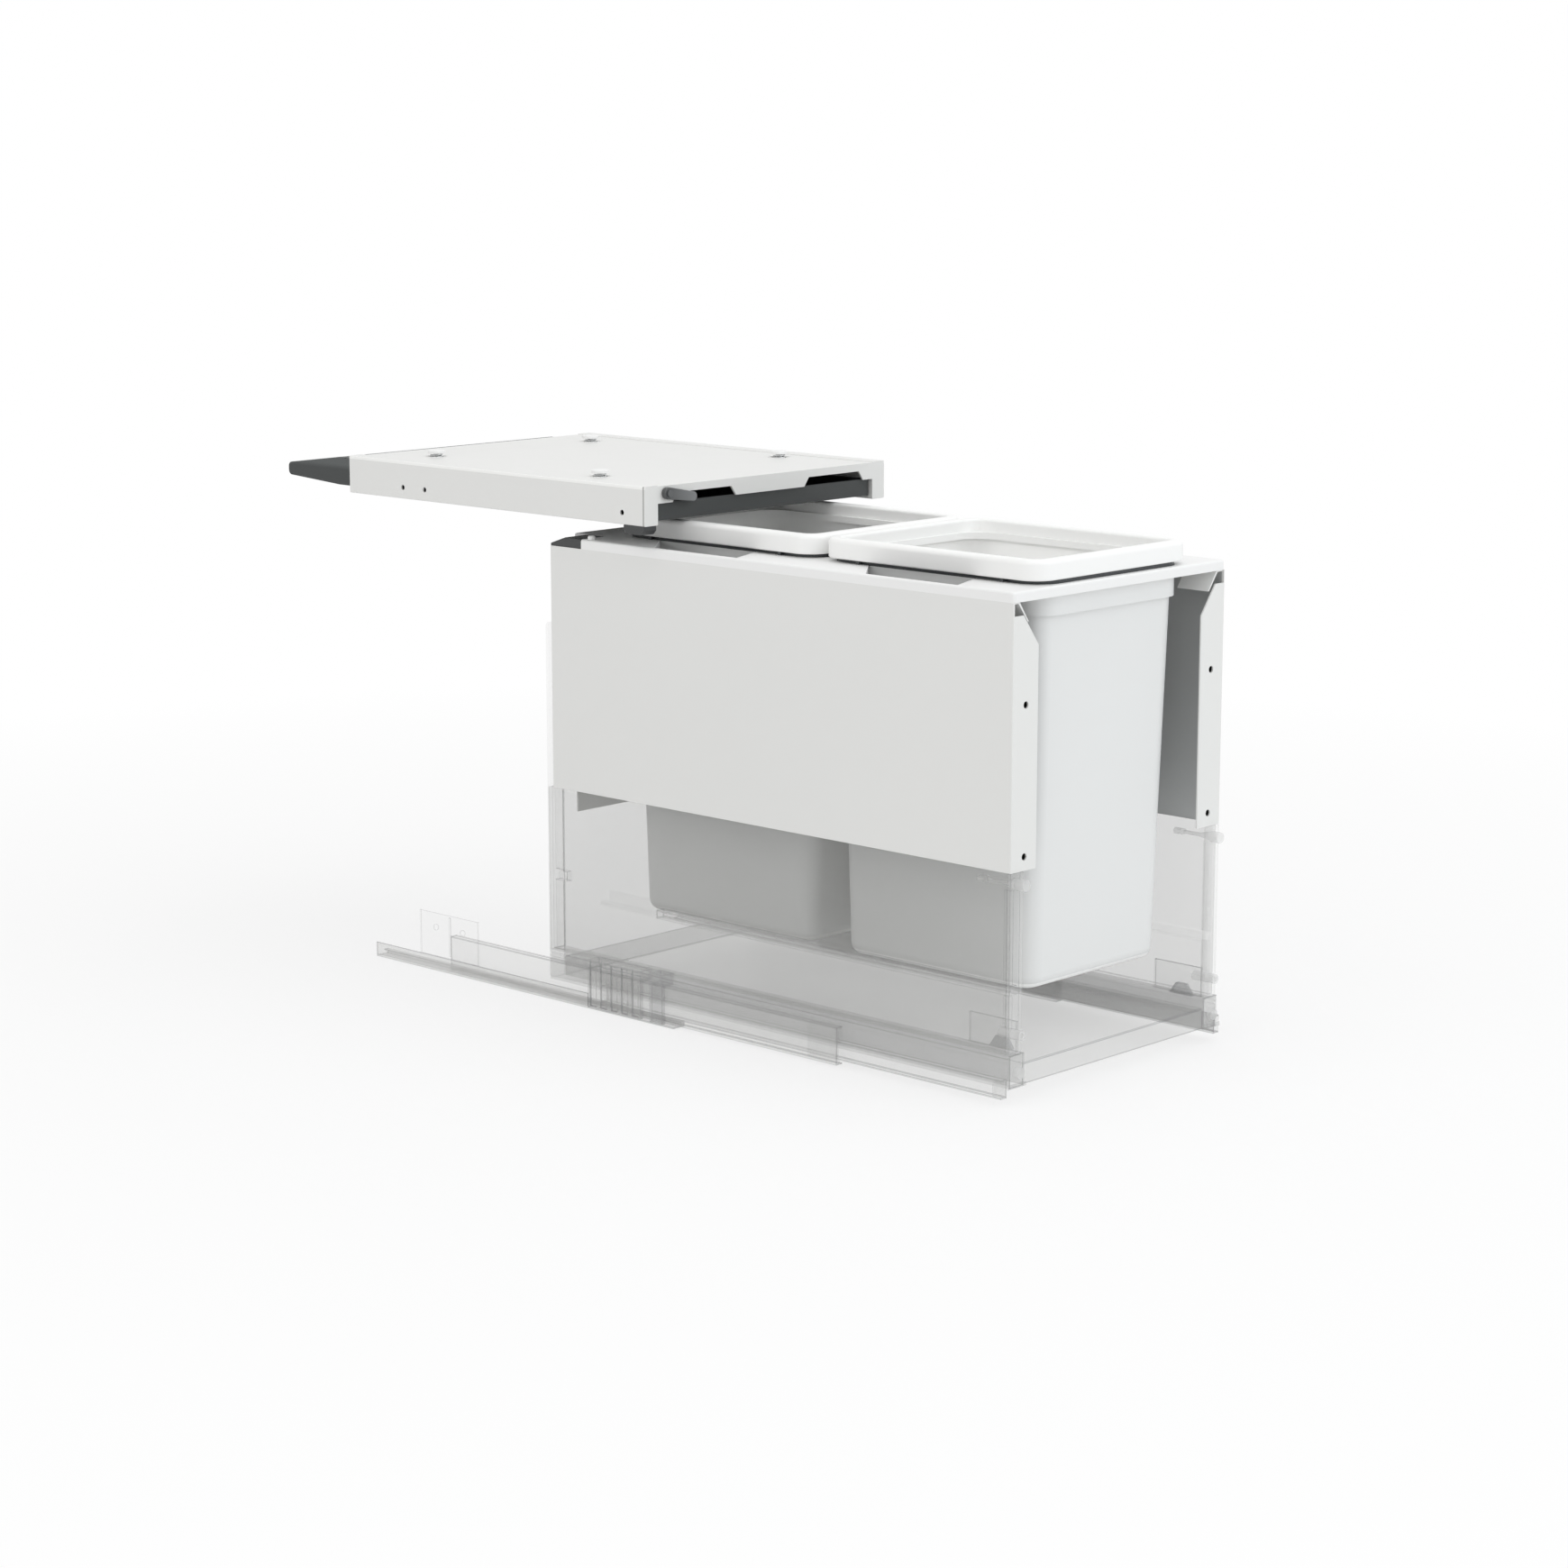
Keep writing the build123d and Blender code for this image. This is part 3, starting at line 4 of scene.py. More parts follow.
import bmesh
import bpy
from bpy.props import FloatProperty, FloatVectorProperty, IntProperty, PointerProperty
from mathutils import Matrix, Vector


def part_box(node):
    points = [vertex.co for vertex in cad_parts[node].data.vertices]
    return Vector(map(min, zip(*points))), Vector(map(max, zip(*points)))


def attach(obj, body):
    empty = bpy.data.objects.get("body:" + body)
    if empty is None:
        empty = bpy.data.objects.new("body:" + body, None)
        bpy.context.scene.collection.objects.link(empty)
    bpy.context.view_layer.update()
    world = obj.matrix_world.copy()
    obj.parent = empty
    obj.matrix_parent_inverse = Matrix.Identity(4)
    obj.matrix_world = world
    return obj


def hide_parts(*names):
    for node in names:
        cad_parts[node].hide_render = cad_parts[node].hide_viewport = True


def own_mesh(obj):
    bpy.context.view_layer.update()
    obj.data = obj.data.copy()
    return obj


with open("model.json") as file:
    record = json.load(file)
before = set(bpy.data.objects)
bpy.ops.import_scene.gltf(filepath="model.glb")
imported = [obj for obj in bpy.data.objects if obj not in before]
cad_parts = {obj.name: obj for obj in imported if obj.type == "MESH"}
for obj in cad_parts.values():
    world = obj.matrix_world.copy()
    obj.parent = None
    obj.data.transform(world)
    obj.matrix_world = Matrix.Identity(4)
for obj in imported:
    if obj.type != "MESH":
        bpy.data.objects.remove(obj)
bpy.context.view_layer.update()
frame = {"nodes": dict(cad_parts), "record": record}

# Dresses a pull-out bin frame: a finish for every piece, rounded edges, small hardware, a plain studio and the
# camera. Lengths are in metres.

bl_info = {
    "name": "Pull Out Bin Frame Dressing",
    "version": (1, 0, 0),
    "blender": (4, 5, 0),
    "location": "View3D > Sidebar > Bin Frame",
    "description": "Finishes, hardware and studio for a pull-out bin frame",
    "category": "Object",
}

SIDES = ("left", "right")
FRONT_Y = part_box("right_frame_panel")[0][1]
PANEL_X, PANEL_BACK, PANEL_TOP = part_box("right_frame_panel")[1]
COVER_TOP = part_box("lid_cover")[1][2]
MM = 0.001
WHITE = (1.0, 1.0, 1.0, 1.0)
BLACK = (0.0, 0.0, 0.0, 1.0)

# The side panels' painted shade: a grey inside them that stands for shade, how far it stays in from the outer
# face, the front and the rear edge, the height from which it darkens and the rise over which it does.
PANEL_SKIN = 0.0009
FLANGE_SKIN = 0.002
REAR_SKIN = 0.0006
DARK_FROM = 0.16
DARK_OVER = 0.2
INSIDE_SHADE_TONES = (1.2, 0.82)

# The lid beams: depth of the outer face, a painted shade line behind the folded front end and a painted
# highlight along the top edge.
BEAM_SKIN = 0.0006
SHADE_LINE_NEAR = 0.0006
SHADE_LINE_FAR = 0.0022
BEAM_HIGHLIGHT_BAND = 0.0024
BEAM_HIGHLIGHT_TONE = 1.18
SHADE_LINE_TONE = 0.55

# The front strips: depth of the pale face, how solid the lip looks, how much more solid the face does, and the
# tones of lip and face.
STRIP_FACE = 0.002
STRIP_BODY = 0.09
STRIP_FACE_BODY = 0.06
STRIP_LIP_TONE = 0.9
STRIP_FACE_TONE = 1.1

# The bins: the plate over the panels' top, a band of painted shade over the plate where the gap under the rims
# falls, with its overlap below and gap above, and the height over which painted light turns the rims white.
PLATE_RISE = 0.0075
SHADE_BAND_HEIGHT = 0.0028
SHADE_BAND_OVERLAP = 0.0004
SHADE_BAND_GAP = 0.0001
RIM_FADE = 0.0005

# A bin's inside: how far its walls stand in from the bin's box at the foot, below the collar and in the collar,
# first across and then along the drawer, then the collar's depth, the corners' radii and the floor's thickness.
BIN_INSETS = ((0.0131, 0.0094, 0.0071), (0.0161, 0.0068, 0.0031))
COLLAR_DEPTH = 0.028
BIN_CORNER = 0.014
COLLAR_CORNER = 0.019
BIN_FLOOR = 0.0013

# The inner lid's painted highlight on the tail's crest: length of the tail, depth of the crest, the fade at both
# and the highlight's tone.
TAIL_LENGTH = 0.097
CREST_DEPTH = 0.010
CREST_FADE = 0.004
CREST_HIGHLIGHT_TONE = 1.9

# Noises: clouds to a metre, then detail.
PAINT_DRIFT = (5.0, 3.0)
PAINT_PEEL = (750.0, 2.0)
PAINT_CLOUD = (38.0, 2.0)
FLOW = (9.0, 4.0)
SPARK_GRAIN = (900.0, 1.0)
FINE_GRAIN = (1100.0, 1.0)
PLASTIC_CLOUD = (60.0, 3.0)
LID_FLOW = (12.0, 3.0)
LID_CLOUD = (50.0, 2.0)
LEVER_FLOW = (30.0, 2.0)
ROLL_LINES = (900.0, 3.0)
ROLL_CLOUD = (24.0, 3.0)
HAZE = (7.0, 3.0)
HAZE_CLOUD = (30.0, 2.0)
TURNING_MARKS = (1400.0, 2.0)
METAL_CLOUD = (160.0, 3.0)
FLOOR_CLOUD = (2.0, 2.0)

# Stretches of a noise along x, y and z.
FLOW_STRETCH = (1.0, 1.0, 2.2)
ROLL_STRETCH = (1.0, 0.015, 1.0)
TURNING_STRETCH = (1.0, 0.1, 1.0)

# Tones: the darkest and the lightest share of a colour.
PAINT_TONES = (0.985, 1.012)
BIN_TONES = (0.988, 1.012)
ROLL_TONES = (0.93, 1.07)
HAZE_TONES = (0.96, 1.04)
METAL_TONES = (0.88, 1.1)
LID_TONES = (0.9, 1.1)
LEVER_TONES = (0.45, 1.35)

# Gloss: how much the roughness varies, then its least.
PAINT_GLOSS = (0.1, 0.36)
ROLL_GLOSS = (0.15, 0.28)
HAZE_GLOSS = (0.08, 0.1)
LID_GLOSS = (0.12, 0.42)

# How much roughness, body and tone vary where their middle is given.
PLASTIC_SPREAD = 0.12
METAL_SPREAD = 0.14
HAZE_SPREAD = 0.03
LEVER_SPREAD = 0.08

# Bumps: strength, then depth.
PAINT_BUMP = (0.1, 0.0001)
PLASTIC_BUMP = (0.12, 0.00008)
ROLL_BUMP = (0.12, 0.0001)
METAL_BUMP = (0.1, 0.00005)
LID_BUMP = (0.2, 0.0001)

# Modelling: distance at which points are merged, angles for flat, sharp and smooth edges, and segments.
MERGE = 0.00001
FLAT_ANGLE = math.radians(0.5)
SHARP_ANGLE = math.radians(40)
SMOOTH_ANGLE = math.radians(35)
QUARTER_TURN = math.radians(90)
FULL_TURN = math.radians(360)
BEVEL_SEGMENTS = 2

# Press nuts: sides, the bore's rim, bore and bevel as shares of the nut's own sizes, the sheets they sit
# behind, and the step from a lid beam's second nut to its third.
NUT_SIDES = 28
NUT_RIM_SHARE = 0.42
NUT_BORE_SHARE = 0.8
NUT_BEVEL_SHARE = 0.12
NUT_OUTER_SHARE = 0.95
FACES_UP = 0.9
SAME_HEIGHT = 1e-6
PANEL_SHEET = 0.0012
BEAM_SHEET = 0.0015
THIRD_NUT_STEP = 0.026

# Springs and beads: sides of the wire, steps in a turn, segments of a bead and how deep its foot is sunk.
WIRE_SIDES = 10
COIL_STEPS = 28
BEAD_SEGMENTS = 48
BEAD_SIDES = 12
BEAD_SUNK = 0.00005

# The studio: where the lamps stand and point, their widths and tints, the floor's drop, the reach of its
# shadow, the width of the fade to white, the floor's colours and gloss, and the camera's film and near limit.
LAMP_AIM = (0.0, 0.0, 0.2)
TOP_LAMP_PLACE = (0.3, -0.6, 2.6)
SIDE_LAMP_PLACE = (-2.4, 0.2, 1.9)
FRONT_LAMP_PLACE = (0.4, -2.6, 1.6)
TOP_LAMP_WIDTH = 2.4
LOW_LAMP_WIDTH = 2.2
TOP_TINT = (1.0, 1.0, 1.0)
SIDE_TINT = (1.0, 1.0, 0.985)
FLOOR_DROP = 0.0005
SHADOW_REACH = 0.5
FLOOR_FADE = 1.0
FLOOR_DARK = (0.9, 0.9, 0.9, 1.0)
FLOOR_LIGHT = (0.92, 0.92, 0.92, 1.0)
FLOOR_ROUGHNESS = 0.9
FLOOR_SHINE = 0.1
FILM_WIDTH = 36.0
NEAR_LIMIT = 0.01


def sided(*names):
    """The left and right nodes of each name."""
    return [f"{side}_{name}" for name in names for side in SIDES]


def colour_property(label, text, default):
    """A colour that the sidebar shows as a swatch."""
    return FloatVectorProperty(name=label, description=text, default=default, subtype="COLOR", size=3,
                               min=0, max=1)


def length_property(label, text, default):
    """A length in metres."""
    return FloatProperty(name=label, description=text, default=default, unit="LENGTH", min=0, precision=5)


def share_property(label, text, default):
    """A share from none to all."""
    return FloatProperty(name=label, description=text, default=default, subtype="FACTOR", min=0, max=1)


def power_property(label, text, default):
    """A lamp's power in watts."""
    return FloatProperty(name=label, description=text, default=default, unit="POWER", min=0)


class FinishSettings(bpy.types.PropertyGroup):
    """Colours and clarity of the finishes."""
    paint: colour_property("Paint", "Powder coat of frame and lid", (0.80, 0.80, 0.785))
    # Painted shade: the grey of the side panels' shaded inner faces.
    panel_inside_shade: colour_property("Panel inside", "Grey backing coat inside the side panels", (0.51, 0.52, 0.52))
    plate: colour_property("Plate", "Moulding of the top plate", (0.89, 0.89, 0.885))
    bin: colour_property("Bin", "Moulding of the bins", (0.80, 0.805, 0.80))
    # Painted light: the whiter colour of the bins' rims and insides, and of the front bin's glow.
    rim_and_inside_light: colour_property("Rim", "Rims and insides of the bins", (0.95, 0.95, 0.94))
    # Painted shade: the dark band where the gap under the rims falls.
    gap_shade: colour_property("Seal", "Soft seat strip under the rims", (0.05, 0.055, 0.058))
    dark: colour_property("Dark plastic", "Corner ramps and guide pad", (0.055, 0.057, 0.058))
    lid: colour_property("Inner lid", "Moulding of the inner lid", (0.052, 0.056, 0.056))
    lever: colour_property("Lever", "Moulding of the lever", (0.16, 0.165, 0.168))
    roller: colour_property("Roller", "Roller and pin of the lever, and plate screws", (0.12, 0.125, 0.128))
    steel: colour_property("Steel", "Bare zinc of the lid springs", (0.74, 0.75, 0.755))
    # Painted shade: the nuts are near black so that the holes in front of them look shaded.
    nut: colour_property("Nut", "Blackened steel of the nuts", (0.02, 0.02, 0.021))
    rail: colour_property("Rail", "Rail sheet", (0.70, 0.70, 0.685))
    guide: colour_property("Guide", "Guide blocks, shoes and rail caps", (0.56, 0.56, 0.545))
    stop: colour_property("Stop", "Left rail stop and fixing blocks", (0.36, 0.365, 0.37))
    line: colour_property("Line", "Edges of the clear pieces", (0.22, 0.225, 0.23))
    glass: colour_property("Glass", "Sides of the drawer", (0.42, 0.42, 0.405))
    profile: colour_property("Side profile", "Hollow profiles at the drawer's foot", (0.42, 0.42, 0.41))
    base: colour_property("Base", "Board that the bins stand over", (0.66, 0.66, 0.645))
    clear: colour_property("Clear plate", "Plates, strips, holders, brackets, top rails and pegs",
                           (0.82, 0.82, 0.81))
    # Painted glow: how much the front bin's inside glows below the plate.
    painted_glow: share_property("Through wall", "Light that the front bin's walls let through", 0.08)
    rail_body: share_property("Rail body", "How solid the rails look", 0.16)
    far_rail_body: share_property("Far rail body", "How solid the right cabinet rail looks", 0.05)
    near_rail_body: share_property("Near rail body", "How solid the left cabinet rail looks", 0.26)
    drawn_body: share_property("Drawn body", "How solid the right drawer rail and profile look", 0.25)
    guide_body: share_property("Guide body", "How solid the left guide block and stop look", 0.14)
    peg_body: share_property("Peg body", "How solid the pegs look", 0.3)
    pale_body: share_property("Pale body", "How solid the back holders and brackets look", 0.05)
    shoe_body: share_property("Shoe body", "How solid the shoes and the right guide block look", 0.1)
    block_body: share_property("Block body", "How solid the fixing blocks look", 0.4)
    line_body: share_property("Line body", "How solid the edges of the clear pieces look", 0.5)
    glass_body: share_property("Glass body", "How solid the glass looks", 0.2)
    profile_body: share_property("Profile body", "How solid the left profile looks", 0.16)
    base_body: share_property("Base body", "How solid the base looks", 0.24)
    clear_body: share_property("Clear body", "How solid fixing plates, back and left gallery rail look", 0.1)


class HardwareSettings(bpy.types.PropertyGroup):
    """Sizes of the hardware that is modelled here."""
    edge: length_property("Edge", "Rounding of moulded edges", 0.0006)
    sheet_edge: length_property("Sheet edge", "Rounding of sheet edges", 0.00025)
    lined_edge: length_property("Lined edge", "Rounding of the clear pieces' edges", 0.0004)
    nut_radius: length_property("Nut radius", "Outer radius of a press nut", 0.0046)
    nut_depth: length_property("Nut depth", "Depth of a press nut", 0.0032)
    wire: length_property("Wire", "Radius of the spring wire", 0.00055)
    coil_radius: length_property("Coil radius", "Radius of a lid spring at the middle of its wire", 0.0046)
    turns: IntProperty(name="Turns", description="Turns of one lid spring", default=5, min=2, max=12)
    spring_slack: length_property("Spring slack", "Room left above a pressed spring", 0.0001)
    bead_radius: length_property("Bead radius", "Radius of the bead round a spring cup", 0.0085)
    bead_width: length_property("Bead width", "Width of the bead round a spring cup", 0.0016)
    bead_height: length_property("Bead height", "Height of the bead round a spring cup", 0.0003)


class StageSettings(bpy.types.PropertyGroup):
    """Camera, lamps and floor."""
    camera_place: FloatVectorProperty(name="Camera place", description="Where the camera stands",
                                      default=(-2.0242, -1.9625, 0.7080), subtype="XYZ", unit="LENGTH", size=3)
    camera_turn: FloatVectorProperty(name="Camera turn", description="How the camera is turned",
                                     default=(math.radians(79.0472), 0.0, math.radians(-46.7312)),
                                     subtype="EULER", size=3)
    lens: FloatProperty(name="Lens", description="Focal length in millimetres", default=83.26, min=10)
    sky: FloatProperty(name="Sky", description="Strength of the light from all round", default=0.68, min=0)
    top_lamp: power_property("Top lamp", "Power of the lamp above", 13.0)
    side_lamp: power_property("Side lamp", "Power of the lamp at the left", 12.0)
    front_lamp: power_property("Front lamp", "Power of the lamp in front", 17.5)
    front_tint: colour_property("Front tint", "Colour of the lamp in front", (0.90, 0.965, 1.0))
    clear_layers: IntProperty(name="Clear layers", description="Clear surfaces that a ray passes in a row",
                              default=64, min=8, max=256)
    floor_size: length_property("Floor size", "Width of the floor", 40.0)
    floor_glow: share_property("Floor glow", "How much of the floor's own white the camera sees", 0.72)


def shade(colour, factor):
    """A colour made lighter or darker, as red, green, blue and alpha."""
    return tuple(min(1.0, channel * factor) for channel in colour[:3]) + (1.0,)


class Value:
    """A socket of a material, in sums written as Python. Each sum adds its Math node."""

    def __init__(self, tree, socket=None):
        self.tree = tree
        self.socket = socket

    def node(self, kind, settings=None, sockets=None, out=0):
        """Adds any node: its settings first, then its sockets' values or links, and returns one output."""
        made = self.tree.nodes.new(kind)
        for name, value in (settings or {}).items():
            setattr(made, name, value)
        for name, value in (sockets or {}).items():
            if isinstance(value, Value):
                self.tree.links.new(value.socket, made.inputs[name])
            else:
                made.inputs[name].default_value = value
        return Value(self.tree, made.outputs[out])

    def sum(self, operation, *values):
        """Adds one Math node."""
        return self.node("ShaderNodeMath", {"operation": operation}, dict(enumerate(values)))

    def __add__(self, other):
        return self.sum("ADD", self, other)

    def __radd__(self, other):
        return self.sum("ADD", other, self)

    def __sub__(self, other):
        return self.sum("SUBTRACT", self, other)

    def __rsub__(self, other):
        return self.sum("SUBTRACT", other, self)

    def __mul__(self, other):
        return self.sum("MULTIPLY", self, other)

    def __rmul__(self, other):
        return self.sum("MULTIPLY", other, self)

    def __truediv__(self, other):
        return self.sum("DIVIDE", self, other)

    def __rtruediv__(self, other):
        return self.sum("DIVIDE", other, self)

    def __pow__(self, other):
        return self.sum("POWER", self, other)

    def __gt__(self, other):
        return self.sum("GREATER_THAN", self, other)

    def __lt__(self, other):
        return self.sum("LESS_THAN", self, other)

    def __abs__(self):
        return self.sum("ABSOLUTE", self)

    def held(self):
        """The value kept between nought and one."""
        return self.node("ShaderNodeClamp", None, {"Value": self})

    def along(self, axis):
        """One coordinate of a vector."""
        return self.node("ShaderNodeSeparateXYZ", None, {"Vector": self}, axis)

    def noise(self, scale, detail):
        """Cloudy noise from nought to one."""
        return self.node("ShaderNodeTexNoise", None, {"Vector": self, "Scale": scale, "Detail": detail})

    def blend(self, low, high):
        """A colour between two, with this value as the share of the second.

        The Mix node's colour sockets share their names with its other sockets, so they are given by number."""
        return self.node("ShaderNodeMix", {"data_type": "RGBA"}, {"Factor": self, 6: low, 7: high}, 2)

    def tones(self, colour, low, high):
        """A colour between two tones of its own, with this value as the share of the second."""
        return self.blend(shade(colour, low), shade(colour, high))

    def spread(self, width, least):
        """This value spread over a width, upwards from the least."""
        return self * width + least

    def bump(self, strength, depth):
        """A normal bent by this value as a height."""
        return self.node("ShaderNodeBump", None, {"Height": self, "Strength": strength, "Distance": depth})


class Finish:
    """A material under construction: its tree, its place on the object and its shader."""

    def __init__(self, name):
        self.material = bpy.data.materials.new(name)
        self.material.use_nodes = True
        self.tree = self.material.node_tree
        self.shader = self.tree.nodes["Principled BSDF"]
        self.place = Value(self.tree).node("ShaderNodeTexCoord", out="Object")

    def set(self, **values):
        """Gives the shader's sockets a number, a colour or a link."""
        for name, value in values.items():
            socket = self.shader.inputs[name.replace("_", " ")]
            if isinstance(value, Value):
                self.tree.links.new(value.socket, socket)
            else:
                socket.default_value = value
        return self

    def stretched(self, scale):
        """The place stretched along the axes, for brushed or drawn surfaces."""
        return self.place.node("ShaderNodeMapping", None, {"Vector": self.place, "Scale": scale})


def paint_tone(finish, colour):
    """A paint colour with a slow drift of tone."""
    return finish.place.noise(*PAINT_DRIFT).tones(colour, *PAINT_TONES)


def satin_paint(finish, tone):
    """Turns a finish into satin paint on sheet: fine orange peel and slightly uneven gloss."""
    return finish.set(Base_Color=tone, Roughness=finish.place.noise(*PAINT_CLOUD).spread(*PAINT_GLOSS),
                      Specular_IOR_Level=0.4,
                      Normal=finish.place.noise(*PAINT_PEEL).bump(*PAINT_BUMP)).material


def powder_coat(name, colour):
    """The plain powder coat."""
    finish = Finish(name)
    return satin_paint(finish, paint_tone(finish, colour))


def panel_coat_painted_shade(name, colour, inside):
    """The side panels' powder coat, with painted shade inside: a grey that stands for the shade within the
    panels and darkens with height.
    """
    finish = Finish(name)
    depth = finish.place.along(1)
    behind = (depth > FRONT_Y + FLANGE_SKIN) * (depth < PANEL_BACK - REAR_SKIN)
    # Painted shade: the panels' inner faces get a grey that stands for the shade inside them, darker towards the
    # top.
    painted_shade = (abs(finish.place.along(0)) < PANEL_X - PANEL_SKIN) * behind
    height = ((finish.place.along(2) - DARK_FROM) / DARK_OVER).held()
    return satin_paint(finish, painted_shade.blend(paint_tone(finish, colour), height.tones(inside, *INSIDE_SHADE_TONES)))


def beam_coat_painted_light(name, colour):
    """The lid beams' powder coat, with a painted highlight along the top edge and a painted shade line beside
    the folded front end.
    """
    finish = Finish(name)
    low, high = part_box("left_lid_beam")
    from_front = finish.place.along(1) - low[1]
    outer = abs(finish.place.along(0)) > -low[0] - BEAM_SKIN
    # Painted shade: a dark line on the outer face just behind the folded front end.
    shade_line = outer * (from_front > SHADE_LINE_NEAR) * (from_front < SHADE_LINE_FAR)
    # Painted highlight: a paler band along the outer face's top edge.
    top = outer * (finish.place.along(2) > high[2] - BEAM_HIGHLIGHT_BAND)
    tone = top.blend(paint_tone(finish, colour), shade(colour, BEAM_HIGHLIGHT_TONE))
    return satin_paint(finish, shade_line.blend(tone, shade(colour, SHADE_LINE_TONE)))


def plastic(finish, tone, roughness, grain=SPARK_GRAIN, **values):
    """Turns a finish into moulded plastic: fine spark grain and a gloss that varies a little."""
    gloss = finish.place.noise(*PLASTIC_CLOUD).spread(PLASTIC_SPREAD, roughness - PLASTIC_SPREAD / 2)
    return finish.set(Base_Color=tone, Roughness=gloss, Specular_IOR_Level=0.45,
                      Normal=finish.place.noise(*grain).bump(*PLASTIC_BUMP), **values).material


def moulding(name, colour, roughness, drift=0.02, body=1.0):
    """Moulded plastic with faint flow clouds."""
    finish = Finish(name)
    flow = finish.stretched(FLOW_STRETCH).noise(*FLOW)
    return plastic(finish, flow.tones(colour, 1 - drift, 1 + drift), roughness, Alpha=body)


def bin_moulding(name, settings):
    """The bins' moulding: pale body, rims and insides made whiter by painted light, and a dark band of painted
    shade where the gap under the rims meets the plate.

    Below the plate the front bin's inside has a painted glow, which stands for light coming through its walls."""
    finish = Finish(name)
    height = finish.place.along(2)
    plate_top = PANEL_TOP + PLATE_RISE
    in_front = bin_inside(finish.place, "front_bin")
    in_bin = in_front + bin_inside(finish.place, "rear_bin")
    # Painted light: the rims and the insides are made whiter.
    painted_light = (in_bin + ((height - plate_top) / RIM_FADE).held()).held()
    body = finish.stretched(FLOW_STRETCH).noise(*FLOW).tones(settings.bin, *BIN_TONES)
    rim_and_inside_light = shade(settings.rim_and_inside_light, 1.0)
    # Painted shade: a dark band over the plate, where the gap under the rims is in shadow.
    strip = (height > plate_top - SHADE_BAND_OVERLAP) * (height < plate_top + SHADE_BAND_HEIGHT - SHADE_BAND_GAP) * (1 - in_bin)
    # Painted glow: below the plate the front bin's inside emits a little light, standing for light through its
    # walls.
    deep = in_front * (height < plate_top + RIM_FADE)
    return plastic(finish, strip.blend(painted_light.blend(body, rim_and_inside_light), shade(settings.gap_shade, 1.0)), roughness=0.33,
                   Emission_Color=(deep * settings.painted_glow).blend(BLACK, rim_and_inside_light), Emission_Strength=1.0)


def bin_inside(place, node):
    """One inside a bin's walls and nought elsewhere."""
    low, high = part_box(node)
    height = place.along(2)
    rise = (height - low[2]) / (high[2] - low[2])
    collar = height > high[2] - COLLAR_DEPTH
    corner = collar * (COLLAR_CORNER - BIN_CORNER) + BIN_CORNER
    beyond = []
    for axis, (foot, top, neck) in enumerate(BIN_INSETS):
        middle = (low[axis] + high[axis]) / 2
        half = (high[axis] - low[axis]) / 2
        tapered = rise * (foot - top) + (half - foot)
        reach = collar * (half - neck) + (1 - collar) * tapered
        past = abs(place.along(axis) - middle) - reach + corner
        beyond.append(past.sum("MAXIMUM", past, 0.0))
    from_corner = (beyond[0] ** 2.0 + beyond[1] ** 2.0) ** 0.5
    return (from_corner < corner) * (height > low[2] + BIN_FLOOR)


def drawn_sheet(name, colour, body):
    """Rolled rail sheet: fine lines along its length and a satin gloss."""
    finish = Finish(name)
    lines = finish.stretched(ROLL_STRETCH).noise(*ROLL_LINES)
    gloss = finish.place.noise(*ROLL_CLOUD).spread(*ROLL_GLOSS)
    return finish.set(Base_Color=lines.tones(colour, *ROLL_TONES), Roughness=gloss, Alpha=body,
                      Specular_IOR_Level=0.5, Normal=lines.bump(*ROLL_BUMP)).material


def see_through(finish, tone, haze, body):
    """Turns a finish into a see-through sheet with faint haze and a smooth gloss."""
    return finish.set(Base_Color=tone, Roughness=finish.place.noise(*HAZE_CLOUD).spread(*HAZE_GLOSS),
                      Specular_IOR_Level=0.35, Alpha=haze.spread(HAZE_SPREAD, body - HAZE_SPREAD / 2)).material


def clear_sheet(name, colour, body):
    """A see-through sheet that tints what is behind it."""
    finish = Finish(name)
    haze = finish.place.noise(*HAZE)
    return see_through(finish, haze.tones(colour, *HAZE_TONES), haze, body)


def front_strip_sheet(name, settings):
    """The front strips: a pale face towards the front and a darker lip along the glass."""
    finish = Finish(name)
    face = finish.place.along(1) < FRONT_Y + STRIP_FACE
    tone = face.blend(shade(settings.profile, STRIP_LIP_TONE), shade(settings.clear, STRIP_FACE_TONE))
    return see_through(finish, tone, finish.place.noise(*HAZE), face.spread(STRIP_FACE_BODY, STRIP_BODY))


def bare_metal(name, colour, roughness):
    """Plain zinc, or near-black nut steel that paints shade into the holes, with fine turning marks."""
    finish = Finish(name)
    marks = finish.stretched(TURNING_STRETCH).noise(*TURNING_MARKS)
    return finish.set(Base_Color=finish.place.noise(*METAL_CLOUD).tones(colour, *METAL_TONES), Metallic=0.85,
                      Roughness=marks.spread(METAL_SPREAD, roughness - METAL_SPREAD / 2),
                      Normal=marks.bump(*METAL_BUMP)).material


def lid_moulding_painted_highlight(name, colour):
    """The inner lid's moulding: dark tray, with a painted highlight over the tail's crest."""
    finish = Finish(name)
    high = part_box("inner_lid")[1]
    tail = ((finish.place.along(1) - (high[1] - TAIL_LENGTH)) / CREST_FADE).held()
    upper = ((finish.place.along(2) - (high[2] - CREST_DEPTH)) / CREST_FADE).held()
    tray = finish.place.noise(*LID_FLOW).tones(colour, *LID_TONES)
    # Painted highlight: the top of the tail's crest is lighter.
    return finish.set(Base_Color=(tail * upper).blend(tray, shade(colour, CREST_HIGHLIGHT_TONE)),
                      Roughness=finish.place.noise(*LID_CLOUD).spread(*LID_GLOSS), Specular_IOR_Level=0.4,
                      Normal=finish.place.noise(*FINE_GRAIN).bump(*LID_BUMP)).material


